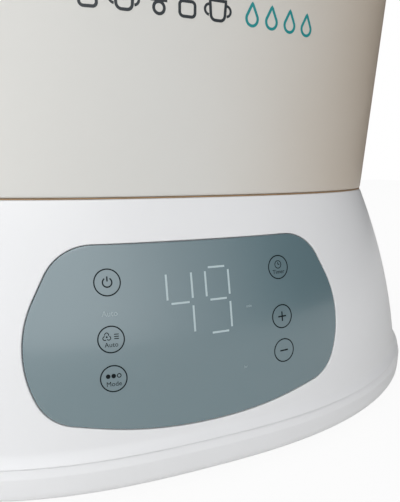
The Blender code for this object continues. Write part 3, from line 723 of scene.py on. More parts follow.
@dataclass(frozen=True)
class Print:
    """Marks on a wall, each a thin closed ribbon or disc that stands a hair proud of it."""

    wall: Wall
    lift: float = 0.03
    root: float = -0.08

    def _sweep(self, left: Array, right: Array, closed: bool) -> Patch:
        """A ribbon between two edges: foot, top, top, foot, drawn in to a point at each open end."""
        along = np.stack([left[:, 0], left[:, 0], right[:, 0], right[:, 0]], axis=1)
        z = np.stack([left[:, 1], left[:, 1], right[:, 1], right[:, 1]], axis=1)
        offset = np.broadcast_to([self.root, self.lift, self.lift, self.root], z.shape)
        points = self.wall.place(along, z, offset)
        if not closed:
            first = np.broadcast_to(points[:1].mean(axis=1, keepdims=True), (1, 4, 3))
            last = np.broadcast_to(points[-1:].mean(axis=1, keepdims=True), (1, 4, 3))
            points = np.concatenate([first, points, last])
        return Patch(points, wrap_rows=closed, wrap_columns=True)

    def stroke(self, path: Array, width: float, closed: bool = False) -> Patch:
        """A line of even width along a path: half the width to each side of it.

        Args:
            path: (along, height) points.
            width: the line's width.
            closed: whether the path is a loop.

        Returns:
            The patch.
        """
        if closed:
            step = np.roll(path, -1, axis=0) - np.roll(path, 1, axis=0)
        else:
            step = np.gradient(path, axis=0)
        step = step / np.linalg.norm(step, axis=1, keepdims=True)
        side = np.stack([-step[:, 1], step[:, 0]], axis=1) * width / 2
        return self._sweep(path + side, path - side, closed)

    def line(self, start: Sequence[float], end: Sequence[float], width: float) -> Patch:
        """A straight stroke between two points."""
        share = np.linspace(0, 1, 7)[:, None]
        return self.stroke(np.asarray(start) * (1 - share) + np.asarray(end) * share, width)

    def arc(self, centre: Sequence[float], radius: float, width: float, first: float = 0.0,
            last: float = 360.0) -> Patch:
        """A stroke along a circle between two directions in degrees; a full turn closes on itself."""
        whole = last - first >= 360.0
        turn = np.radians(np.linspace(first, last, 56, endpoint=not whole))
        path = np.stack([centre[0] + radius * np.cos(turn), centre[1] + radius * np.sin(turn)], axis=1)
        return self.stroke(path, width, closed=whole)

    def dot(self, centre: Sequence[float], radius: float) -> Patch:
        """A filled disc, as a ring stroke that reaches its own middle."""
        return self.arc(centre, radius * 0.505, radius)

    def words(self, name: str, text: str, centre: Sequence[float], height: float) -> bpy.types.Object:
        """Plain lettering, laid on the wall.

        Args:
            name: the object's name.
            text: the word.
            centre: (along, height) of its middle.
            height: the font's size; capitals are about 0.7 of it.

        Returns:
            The object, with its place in its mesh.
        """
        curve = bpy.data.curves.new(name, "FONT")
        curve.body, curve.size, curve.extrude = text, height, 0.05
        curve.align_x, curve.align_y, curve.resolution_u = "CENTER", "CENTER", 4
        source = bpy.data.objects.new(name, curve)
        bpy.context.scene.collection.objects.link(source)
        graph = bpy.context.evaluated_depsgraph_get()
        mesh = bpy.data.meshes.new_from_object(source.evaluated_get(graph))
        bpy.data.objects.remove(source)
        flat = np.empty(len(mesh.vertices) * 3, np.float32)
        mesh.vertices.foreach_get("co", flat)
        flat = flat.reshape(-1, 3).astype(float)
        offset = np.where(flat[:, 2] > 0, self.lift, self.root)
        placed = self.wall.place(centre[0] + flat[:, 0], centre[1] + flat[:, 1], offset) * MM
        mesh.vertices.foreach_set("co", placed.astype(np.float32).ravel())
        mesh.update()
        return show(name, mesh)


# ---------------------------------------------------------------- sub-assemblies

def straight(half: float) -> Callable[[Array], Array]:
    """The half width of an upright outline: the same at every height."""
    return lambda z: np.full(np.shape(z), half)


def disc_rows(section: Array, outward: bool) -> Array:
    """Plan sections that fill a level floor: shares of one section, from the middle to it or back.

    Args:
        section: (half width, half depth, height) of the floor's edge.
        outward: whether the rows run from the middle to the edge.

    Returns:
        The rows, without the edge itself.
    """
    shares = np.array([0.0, 0.3, 0.6, 0.85, 0.96])[:, None]
    rows = np.concatenate([section[:2] * shares, np.full((5, 1), section[2])], axis=1)
    return rows if outward else rows[::-1]


@dataclass
class Housing:
    """The white base casing with its panel recess and filter bay, the bottom cover, feet and screws."""

    panel: Opening
    bay: Opening
    seam_half: float = 120.0
    swell: float = 12.8
    crease_z: float = 17.5
    flare: float = 2.2
    flare_height: float = 4.0
    thickness: float = 2.5
    deck_drop: float = 6.0
    deck_thickness: float = 2.8
    hole_radius: float = 76.0
    cord_radius: float = 6.3
    cover_gap: float = 0.45
    recess_depth: float = 1.5
    edge_radius: float = 0.3
    side_columns: int = 64
    level_columns: int = 110
    wall: Wall = field(init=False)

    def __post_init__(self) -> None:
        """Reads the casing's height and width from the frame."""
        high = corners("base_shell")[1]
        self.seam_z = float(high[2])
        self.wall = Wall(self.crease_z, self.seam_z, float(high[0]) - self.flare, self.seam_half, self.swell)
        self.deck_z = self.seam_z - self.deck_drop
        self.heights = np.linspace(self.crease_z + self.flare_height, self.seam_z - 3.0, 61)

    def _lift(self, z: Array) -> Array:
        """Height on the inner face for one on the outer: the range ends under the deck."""
        low, high = self.heights[0], self.heights[-1]
        return low + (z - low) * (self.deck_z - self.deck_thickness - low) / (high - low)

    def _section(self, ledge: float) -> list[tuple[float, ...]]:
        """Rows through a recess: inner face, ledge, floor, wall, quarter-round edge, outer face.

        Args:
            ledge: width of the floor that stays round the through opening.

        Returns:
            (share, growth, offset, inner) rows for Opening.surround.
        """
        inner = [(share, -ledge, -self.thickness, 1.0) for share in (1.0, 0.6, 0.25, 0.05, 0.0)]
        floor = [(0.0, grow, -self.recess_depth, 0.0) for grow in (-ledge, -ledge + 0.3, -0.3, 0.0)]
        radius = self.edge_radius
        rise = [(0.0, 0.0, -self.recess_depth + 0.2, 0.0), (0.0, 0.0, -radius - 0.15, 0.0)]
        turn = np.linspace(0, np.pi / 2, 6)
        edge = [(0.0, radius * (1 - math.cos(a)), -radius * (1 - math.sin(a)), 0.0) for a in turn]
        outer = [(0.0, grow, 0.0, 0.0) for grow in (radius + 0.2, radius + 0.7, radius + 1.8)]
        spread = [(share, radius + 1.8, 0.0, 0.0) for share in (0.08, 0.18, 0.3, 0.45, 0.62, 0.8, 1.0)]
        return [*inner, *floor, *rise, *edge, *outer, *spread]

    def _sides(self) -> list[Patch]:
        """Outer and inner faces of the wall between the two openings' patches, on both sides."""
        runs = np.linspace(self.panel.reach, PLAN.half_run - self.bay.reach, self.side_columns + 1)
        patches = []
        for side in (1.0, -1.0):
            for z, offset in ((self.heights, 0.0), (self._lift(self.heights), -self.thickness)):
                grid_z = np.broadcast_to(z[:, None], (len(z), len(runs)))
                along = side * runs[None, :] * self.wall.half(grid_z)
                patches.append(Patch(self.wall.place(along, grid_z, np.full(grid_z.shape, offset))))
        return patches

    def _all_runs(self) -> Array:
        """Runs of every column once round the casing, matching the patches' borders."""
        front = np.linspace(-self.panel.reach, self.panel.reach, self.level_columns + 1)
        side = np.linspace(self.panel.reach, PLAN.half_run - self.bay.reach, self.side_columns + 1)
        rear = PLAN.half_run + np.linspace(-self.bay.reach, self.bay.reach, self.level_columns + 1)
        return np.concatenate([front[:-1], side[:-1], rear[:-1], 2 * PLAN.half_run - side[:0:-1]])

    def _rings(self, profile: Array, runs: Array) -> Array:
        """Rings of the wall's outline drawn in by an inset at a height."""
        return PLAN.loft(ringed(profile, self.wall.half), runs).points

    def _top(self, runs: Array) -> Patch:
        """The rim, the step down to the deck, the round hole and the deck's underside."""
        z = self.seam_z
        profile = filleted([(0, z - 3, 0), (0, z, 0.6), (8.2, z, 0.9), (8.5, self.deck_z, 1.0),
                            (14, self.deck_z, 0)])
        rings = self._rings(profile, runs)
        turn = np.arctan2(rings[-1, :, 1], rings[-1, :, 0])
        circle = np.stack([np.cos(turn), np.sin(turn)], axis=1)
        radius, under = self.hole_radius, self.deck_z - self.deck_thickness
        hole = filleted([(radius + 4, self.deck_z, 0), (radius, self.deck_z, 0.8), (radius, under, 0.4),
                         (radius + 4, under, 0)])
        edge = np.concatenate([hole[:, :1, None] * circle[None], np.broadcast_to(
            hole[:, 1:, None], (len(hole), len(runs), 1))], axis=2)
        under_z = np.full(len(runs), under)
        border = self.wall.place(runs * self.wall.half(under_z), under_z, np.full(len(runs), -self.thickness))
        return Patch(np.concatenate([rings, edge, border[None]]), wrap_columns=True)

    def _foot(self, runs: Array) -> Patch:
        """The wall's lower edge: it turns out by a parabola and ends in a soft edge over the bottom cover."""
        start = self.heights[0]
        share = np.linspace(0, 0.8, 9)
        turn_out = np.stack([-self.flare * share ** 2, start - self.flare_height * share], axis=1)
        lip = filleted([(*turn_out[-1], 0), (-self.flare, self.crease_z, 0.45),
                        (self.thickness - self.flare, self.crease_z, 0.3),
                        (self.thickness - 0.8 * self.flare, self.crease_z + 0.4, 0)])
        z = np.full(len(runs), start)
        border = self.wall.place(runs * self.wall.half(z), z, np.full(len(runs), -self.thickness))
        rings = self._rings(np.concatenate([turn_out[:-1], lip]), runs)
        return Patch(np.concatenate([rings, border[None]]), wrap_columns=True)

    def _casing(self) -> bpy.types.Object:
        """The whole casing, welded from its patches, with the air outlet and the cord hole cut."""
        runs = self._all_runs()
        windows = [opening.surround(self.wall, self.heights, self.level_columns, self._section(ledge),
                                    self._lift)
                   for opening, ledge in ((self.panel, 4.0), (self.bay, 2.0))]
        casing = build("housing", [*windows, *self._sides(), self._top(runs), self._foot(runs)])
        low, high = corners("outlet_grille")
        outlet = block((low[0] - 0.3, low[1] - 0.3, self.deck_z - 8),
                       (high[0] + 0.3, high[1] + 0.3, self.deck_z + 3))
        gland_low, gland_high = corners("cord_gland")
        middle = (gland_low + gland_high) / 2
        bore = self.cord_radius
        hole = spun(np.array([(0, -14), (bore, -14), (bore, 14), (0, 14)], float), sides=40)
        carve(casing, [outlet, along_y(hole, middle)])
        return casing

    def _bottom(self) -> bpy.types.Object:
        """The bottom cover: rounded band, flat underside, air slots and screw holes."""
        low_corner, high_corner = corners("base_bottom")
        low, top = float(low_corner[2]), self.crease_z - self.cover_gap
        proud = 0.2
        band = filleted([(40, low, 0), (proud, low, 6.6), (proud, 14.3, 1.7), (1.3, top, 0.4),
                         (4.2, top, 0.5),
                         (4.6, low + 2.7, 2.0), (40, low + 2.7, 0)], steps=10)
        sections = ringed(band, straight(float(high_corner[0]) + proud))
        rows = np.concatenate([disc_rows(sections[0], True), sections, disc_rows(sections[-1], False)])
        cover = build("bottom_cover", [PLAN.loft(rows, PLAN.even(300))])
        shaft_low, shaft_high = corners("motor_shaft")
        fan = (shaft_low[0] + shaft_high[0]) / 2
        cuts = [block((fan + 7 * k - 1.5, -22, 2), (fan + 7 * k + 1.5, 22, 8)) for k in range(-3, 4)]
        bore = np.array([(0, 2), (4.2, 2), (4.2, 9), (0, 9)], float)
        for number in range(1, 5):
            low_corner, high_corner = corners(f"base_screw_{number}")
            middle = (low_corner + high_corner) / 2
            cuts.append(spun(bore, (middle[0], middle[1], 0), sides=32))
        carve(cover, cuts)
        return cover

    def _small(self) -> None:
        """Feet with a chamfered tread and screws with a cross slot."""
        for number in range(1, 5):
            low, high = corners(f"foot_{number}")
            x, y, _ = (low + high) / 2
            profile = filleted([(0, 0, 0), (5.6, 0, 0.3), (5.9, 0.5, 0.3), (6.6, 0.5, 0.3), (6.9, 0, 0.3),
                                (7.7, 0, 0.5), (8.9, high[2], 0.4), (0, high[2], 0)], steps=3)
            foot = build(f"rubber_foot_{number}", [spun(profile, (x, y, 0), 48)])
            finish_piece(foot, RUBBER_BLACK, "base", [f"foot_{number}"])
            low, high = corners(f"base_screw_{number}")
            x, y, _ = (low + high) / 2
            z, top = low[2], high[2]
            head = filleted([(0, z, 0), (3.3, z, 0.9), (3.7, z + 1.4, 0.3), (3.4, z + 2.4, 0.2),
                             (1.5, z + 2.4, 0.2), (1.5, top - 2, 0.3), (0, top, 0)], steps=3)
            screw = build(f"case_screw_{number}", [spun(head, (x, y, 0), 32)])
            slots = [block((x - 2, y - 0.35, low[2] - 1), (x + 2, y + 0.35, low[2] + 1.1)),
                     block((x - 0.35, y - 2, low[2] - 1), (x + 0.35, y + 2, low[2] + 1.1))]
            for slot in slots:
                carve(screw, [slot])
            finish_piece(screw, STEEL, "base", [f"base_screw_{number}"])

    def make(self) -> None:
        """Builds and dresses every piece of the housing."""
        finish_piece(self._casing(), WHITE_GLOSS, "base", ["base_shell"])
        finish_piece(self._bottom(), WHITE_GLOSS, "base", ["base_bottom"])
        self._small()


@dataclass
class ControlPanel:
    """The flush glossy panel with its printed icons and the lit two-figure display."""

    wall: Wall
    opening: Opening
    gap: float = 0.3
    thickness: float = 1.2
    edge_radius: float = 0.45
    column: float = 31.5
    rows: tuple[float, float, float] = (73.7, 55.7, 43.1)
    ring_radius: float = 4.2
    line: float = 0.4
    fine_line: float = 0.28

    def _lens(self) -> bpy.types.Object:
        """The panel: rings of the outline shrunk to its centre, with a quarter-round edge."""
        turn = np.linspace(0, 2 * np.pi, 420, endpoint=False)
        radius, back = self.edge_radius, -self.thickness
        angles = np.linspace(0, np.pi / 2, 6)
        face = [(share, -self.gap - radius, 0.0) for share in (*np.linspace(0, 0.95, 16), 0.985, 1.0)]
        edge = [(1.0, -self.gap - radius * (1 - math.sin(a)), -radius * (1 - math.cos(a)))
                for a in angles[1:]]
        rear = [(share, -self.gap, back) for share in (1.0, 0.9, 0.6, 0.3, 0.0)]
        grids = []
        for share, grow, offset in [*face, *edge, *rear]:
            along, z = self.opening.edge(turn, grow)
            z = self.opening.centre + (z - self.opening.centre) * share
            grids.append(self.wall.place(along * share, z, np.full(len(turn), offset)))
        return build("panel", [Patch(np.stack(grids), wrap_columns=True)])

    def _power(self, pen: Print, x: float, z: float) -> list[Patch]:
        """A broken ring with an upright stroke."""
        bold = 1.1 * self.line
        return [pen.arc((x, z), 1.48, bold, 125, 415), pen.line((x, z + 0.3), (x, z + 1.9), bold)]

    def _drying(self, pen: Print, x: float, z: float) -> list[Patch]:
        """A three-bladed fan with three short draught lines beside it, above its word."""
        hub = (x - 1.35, z + 0.85)
        blades = [pen.arc((hub[0] + 0.72 * math.cos(a), hub[1] + 0.72 * math.sin(a)), 0.62, self.fine_line,
                          math.degrees(a) - 120, math.degrees(a) + 100) for a in np.radians([90, 210, 330])]
        lines = [pen.line((x + 1.0, z + up), (x + 2.5, z + up), self.fine_line) for up in (0.15, 0.85, 1.55)]
        return [*blades, pen.dot(hub, 0.3), *lines]

    def _mode(self, pen: Print, x: float, z: float) -> list[Patch]:
        """Two full dots and an open one."""
        up = z + 0.85
        return [pen.dot((x - 1.75, up), 0.72), pen.dot((x, up), 0.72),
                pen.arc((x + 1.75, up), 0.6, self.fine_line)]

    def _clock(self, pen: Print, x: float, z: float) -> list[Patch]:
        """A small clock face with two hands."""
        up = z + 0.95
        return [pen.arc((x, up), 1.35, self.fine_line), pen.line((x, up), (x, up + 0.85), self.fine_line),
                pen.line((x, up), (x + 0.65, up), self.fine_line)]

    def _plus(self, pen: Print, x: float, z: float) -> list[Patch]:
        """Two crossed strokes."""
        return [pen.line((x - 1.75, z), (x + 1.75, z), 0.5), pen.line((x, z - 1.75), (x, z + 1.75), 0.5)]

    def _minus(self, pen: Print, x: float, z: float) -> list[Patch]:
        """One level stroke."""
        return [pen.line((x - 1.7, z), (x + 1.7, z), 0.5)]

    def _icons(self, pen: Print) -> None:
        """The six ringed icons, with plain words under three of them."""
        marks = (("power", -1, 0, self._power, ""), ("drying", -1, 1, self._drying, "Auto"),
                 ("mode", -1, 2, self._mode, "Mode"), ("clock", 1, 0, self._clock, "Timer"),
                 ("plus", 1, 1, self._plus, ""), ("minus", 1, 2, self._minus, ""))
        for name, side, row, draw, word in marks:
            x, z = side * self.column, self.rows[row]
            ring = pen.arc((x, z), self.ring_radius, self.line)
            icon = build(f"icon_{name}", [ring, *draw(pen, x, z)])
            finish_piece(icon, INK_DARK, "base")
            if word:
                lettering = pen.words(f"word_{name}", word, (x, z - 1.75), 2.15)
                finish_piece(lettering, INK_DARK, "base")

    def _lights(self, pen: Print) -> None:
        """The lit figures, as bars of seven-segment cells, and the unlit indicators beside them."""
        bottom, middle, top, inset, width = 53.8, 65.1, 76.1, 1.25, 0.66
        cells = ((-12.1, -3.2, "fgbc"), (1.9, 10.6, "abcdfg"))
        for number, (left, right, lit) in enumerate(cells, 1):
            bars = {
                "a": ((left + inset, top), (right - inset, top)),
                "b": ((right, top - inset), (right, middle + inset)),
                "c": ((right, middle - inset), (right, bottom + inset)),
                "d": ((left + inset, bottom), (right - inset, bottom)),
                "e": ((left, middle - inset), (left, bottom + inset)),
                "f": ((left, top - inset), (left, middle + inset)),
                "g": ((left + inset, middle), (right - inset, middle)),
            }
            figure = build(f"figure_{number}", [pen.line(*bars[bar], width) for bar in lit])
            finish_piece(figure, LIT_SEGMENT, "base")
        unlit = (("auto", "Auto", (-31.4, 63.8), 2.5), ("minutes", "min", (17.8, 61.3), 1.5),
                 ("hours", "hr", (15.1, 39.9), 1.5))
        for name, word, spot, size in unlit:
            finish_piece(pen.words(f"indicator_{name}", word, spot, size), INK_FAINT, "base")

    def make(self) -> None:
        """Builds and dresses the panel and its marks."""
        finish_piece(self._lens(), PANEL_GLOSS, "base", ["panel_lens"])
        pen = Print(self.wall)
        self._icons(pen)
        self._lights(pen)


@dataclass
class SleeveBody:
    """The cream sleeve, its tan gasket and a printed row of nursery shapes."""

    foot_half: float = 120.0
    thickness: float = 2.5
    print_z: float = 156.0
    print_height: float = 7.8
    stroke: float = 0.9
    wall: Wall = field(init=False)

    def __post_init__(self) -> None:
        """Reads the sleeve's top from the frame."""
        high = corners("sleeve")[1]
        self.top_z = float(high[2])
        self.foot_z = corners("base_shell")[1][2] + 0.5
        self.wall = Wall(self.foot_z + 1.1, self.top_z - 0.8, self.foot_half, float(high[0]))

    def _sleeve(self) -> bpy.types.Object:
        """The sleeve: a tapering wall with rounded foot and rim, an inner ledge and a spigot."""
        foot, ledge = self.foot_z, self.foot_z + 5.5
        profile = filleted([(0, foot, 0.9), (0, self.top_z, 0.9), (self.thickness, self.top_z, 0.9),
                            (self.thickness, ledge, 1.6), (13.5, ledge, 0.9), (13.5, foot - 1.9, 0.4),
                            (9.0, foot - 1.9, 0.4), (9.0, foot + 1.4, 0.3), (2.2, foot + 1.4, 0.3),
                            (2.2, foot, 0.2)], closed=True)
        sections = ringed(profile, self.wall.half)
        rings = PLAN.loft(sections, PLAN.even(340))
        return build("body_sleeve_shell", [Patch(rings.points, wrap_rows=True, wrap_columns=True)])

    def _gasket(self) -> bpy.types.Object:
        """The gasket in the sleeve's groove, with the thin flange that shows as the seam's line."""
        foot = self.foot_z
        profile = filleted([(0.2, foot - 0.45, 0.06), (0.2, foot - 0.05, 0.06), (2.6, foot - 0.05, 0.05),
                            (2.6, foot + 1.0, 0.2), (8.0, foot + 1.0, 0.2), (8.0, foot - 0.4, 0.1)],
                           closed=True, steps=3)
        rings = PLAN.loft(ringed(profile, straight(self.foot_half)), PLAN.even(340))
        return build("seam_gasket", [Patch(rings.points, wrap_rows=True, wrap_columns=True)])

    def _bottle(self, pen: Print, x: float) -> list[Patch]:
        """A feeding bottle: rounded body, collar and teat."""
        z, h = self.print_z, self.print_height
        body = filleted([(x - 2.5, z + 0.6, 1.2), (x + 2.5, z + 0.6, 1.2), (x + 2.5, z + 0.62 * h, 1.1),
                         (x - 2.5, z + 0.62 * h, 1.1)], closed=True)
        return [pen.stroke(body, self.stroke, closed=True),
                pen.line((x - 2.1, z + 0.76 * h), (x + 2.1, z + 0.76 * h), self.stroke),
                pen.line((x, z + 0.78 * h), (x, z + h), 1.5 * self.stroke)]

    def _cup(self, pen: Print, x: float) -> list[Patch]:
        """A two-handled cup."""
        z, h = self.print_z, self.print_height
        bowl = filleted([(x - 2.7, z + 0.75 * h, 0), (x - 2.3, z + 0.6, 1.6), (x + 2.3, z + 0.6, 1.6),
                         (x + 2.7, z + 0.75 * h, 0)])
        return [pen.stroke(bowl, self.stroke),
                pen.line((x - 3.1, z + 0.8 * h), (x + 3.1, z + 0.8 * h), self.stroke),
                pen.arc((x + 2.9, z + 0.45 * h), 1.5, 0.85 * self.stroke, -85, 85),
                pen.arc((x - 2.9, z + 0.45 * h), 1.5, 0.85 * self.stroke, 95, 265)]

    def _dummy(self, pen: Print, x: float) -> list[Patch]:
        """A dummy: ring, shield and teat."""
        z, h = self.print_z, self.print_height
        shield = z + 0.56 * h
        return [pen.arc((x, z + 2.1), 1.65, self.stroke), pen.line((x - 2.6, shield), (x + 2.6, shield), 1.2),
                pen.dot((x, z + 0.8 * h), 1.4)]

    def _drop(self, pen: Print, x: float) -> list[Patch]:
        """A water drop: a bowl whose two sides meet in a point."""
        z, h = self.print_z, self.print_height
        radius, low = 2.1, z + 2.6
        bowl = np.radians(np.linspace(158, 382, 40))
        arc = np.stack([x + radius * np.cos(bowl), low + radius * np.sin(bowl)], axis=1)
        rise = np.linspace(0, 1, 8, endpoint=False)[:, None]
        tip = np.array([[x, z + 0.92 * h]])
        path = np.concatenate([tip + (arc[0] - tip) * rise, arc[:-1], arc[-1] + (tip - arc[-1]) * rise])
        return [pen.stroke(path, self.stroke, closed=True)]

    def make(self) -> None:
        """Builds and dresses the sleeve, the gasket and the printed row."""
        finish_piece(self._sleeve(), CREAM_SHELL, "body_sleeve", ["sleeve"])
        finish_piece(self._gasket(), SILICONE_TAN, "body_sleeve", ["sleeve_seal"])
        pen = Print(self.wall, lift=0.04)
        dark = (("bottle", -32.0, self._bottle), ("cup", -21.5, self._cup), ("dummy", -11.0, self._dummy),
                ("bottle_two", -2.0, self._bottle), ("cup_two", 8.2, self._cup))
        for name, x, draw in dark:
            finish_piece(build(f"print_{name}", draw(pen, x)), INK_CHARCOAL, "body_sleeve")
        for number, x in enumerate((20.5, 28.0, 35.5, 43.0), 1):
            drop = build(f"print_drop_{number}", self._drop(pen, x))
            finish_piece(drop, INK_TEAL, "body_sleeve")


@dataclass
class BottleRack:
    """The slotted rack with crossed pegs, and the post that it is lifted out by."""

    half: float = 120.0
    spots: tuple[tuple[float, float], ...] = ((-66, -40), (0, -47), (66, -40), (-66, 40), (0, 47), (66, 40))
    slot_half: float = 2.5
    bevel: float = 0.4

    def _cross(self, reach: float, thick: float) -> Array:
        """One ring of a peg: four arms of half width thick, each a quarter turn from the last."""
        b = self.bevel
        arm = np.array([(thick, -thick), (reach - b, -thick), (reach, b - thick), (reach, thick - b),
                        (reach - b, thick)])
        turns = np.radians([0, 90, 180, 270])[:, None]
        x = arm[:, 0] * np.cos(turns) - arm[:, 1] * np.sin(turns)
        y = arm[:, 0] * np.sin(turns) + arm[:, 1] * np.cos(turns)
        return np.stack([x.ravel(), y.ravel()], axis=1)

    def _peg(self, x: float, y: float, floor: float, top: float) -> Patch:
        """A peg: crossed rings that taper upwards and round off at the tip."""
        share = np.array([0.0, 0.02, 0.06, 0.25, 0.5, 0.75, 0.9, 0.97, 0.99, 1.0])
        reach = np.interp(share, [0, 0.02, 0.06, 0.55, 0.9, 0.97, 1.0], [10.2, 9.4, 9.0, 7.9, 5.2, 4.4, 3.0])
        thick = np.interp(share, [0, 0.02, 0.06, 0.55, 0.9, 1.0], [2.0, 1.6, 1.3, 1.2, 1.0, 0.8])
        rings = np.stack([self._cross(r, t) for r, t in zip(reach, thick)])
        rings = np.concatenate([rings[:1] * 0, rings, rings[-1:] * 0])
        height = floor + (top - floor) * np.concatenate([[0], share, [1]])
        z = np.broadcast_to(height[:, None, None], (*rings.shape[:2], 1))
        return Patch(np.concatenate([rings + (x, y), z], axis=2), wrap_columns=True)

    def make(self) -> None:
        """Builds and dresses the rack and its post."""
        low, high = corners("bottle_rack")
        base, top = float(low[2]), float(high[2])
        rim = filleted([(40, base, 0), (6, base, 1.2), (5.4, base + 2.7, 0.8), (4.6, base + 9.7, 0.6),
                        (6.6, base + 9.7, 0.6), (7.4, base + 2.7, 1.0), (40, base + 2.7, 0)])
        sections = ringed(rim, straight(self.half))
        rows = np.concatenate([disc_rows(sections[0], True), sections, disc_rows(sections[-1], False)])
        rack = build("rack_floor", [PLAN.loft(rows, PLAN.even(260))])
        s = self.slot_half
        slots = [block((x - s, y - 13, base - 2), (x + s, y + 13, base + 4))
                 for x in (-77, -55, -33, -11, 11, 33, 55, 77) for y in (-20, 20)]
        slots += [block((x - s, y - 12, base - 2), (x + s, y + 12, base + 4))
                  for x in (-33, 33) for y in (-64, 64)]
        post_low, post_high = corners("rack_post")
        carve(rack, slots)
        finish_piece(rack, RACK_WHITE, "lower_rack", ["bottle_rack"])
        for number, (x, y) in enumerate(self.spots, 1):
            peg = build(f"rack_peg_{number}", [self._peg(x, y, base + 2.0, top)])
            finish_piece(peg, RACK_WHITE, "lower_rack")
        z, top = float(post_low[2]), float(post_high[2])
        post = filleted([(0, z, 0), (12, z, 0.8), (7, z + 6.6, 3.0), (5.5, z + 40.6, 8.0),
                         (5.5, top - 30, 6.0),
                         (9.5, top - 13.6, 4.0), (11, top - 5.6, 3.0), (8.5, top, 2.0), (0, top, 0)])
        finish_piece(build("rack_lifting_post", [spun(post)]), RACK_WHITE, "lower_rack",
                     ["rack_post"])


@dataclass
class AccessoryTray:
    """The upper tray with its slotted floor and turned knob."""

    half: float = 126.5
    pitch: float = 14.0
    slot_half: float = 2.0

    def make(self) -> None:
        """Builds and dresses the tray and its knob."""
        low, high = corners("accessory_tray")
        base, top = float(low[2]), float(high[2])
        rim = filleted([(50, base, 0), (12, base, 1.2), (8.8, base + 1.3, 1.2), (5, top - 2, 1.0),
                        (0.2, top - 2, 0.5),
                        (0.2, top, 0.8), (7, top, 1.4), (10.8, base + 3.1, 1.6), (12.5, base + 2.5, 1.0),
                        (50, base + 2.5, 0)])
        sections = ringed(rim, straight(self.half))
        rows = np.concatenate([disc_rows(sections[0], True), sections, disc_rows(sections[-1], False)])
        tray = build("tray_dish", [PLAN.loft(rows, PLAN.even(260))])
        slots = []
        for x in np.arange(-6, 7) * self.pitch:
            reach = 62 if abs(x) < 60 else 42
            for side in (-1, 1):
                near, far = sorted((side * 18.0, side * reach))
                slots.append(block((x - self.slot_half, near, base - 2), (x + self.slot_half, far, base + 5)))
        carve(tray, slots)
        finish_piece(tray, RACK_WHITE, "upper_tray", ["accessory_tray"])
        knob_low, knob_high = corners("tray_knob")
        z, top = float(knob_low[2]), float(knob_high[2])
        knob = filleted([(0, z, 0), (10, z, 0.6), (6, z + 3.7, 1.6), (4, z + 12.7, 4.0), (4, z + 26.7, 4.0),
                         (9, z + 33.7, 2.5), (9, z + 38.7, 2.5), (5, top, 2.0), (0, top, 0)])
        finish_piece(build("tray_lifting_knob", [spun(knob)]), RACK_WHITE, "upper_tray",
                     ["tray_knob"])


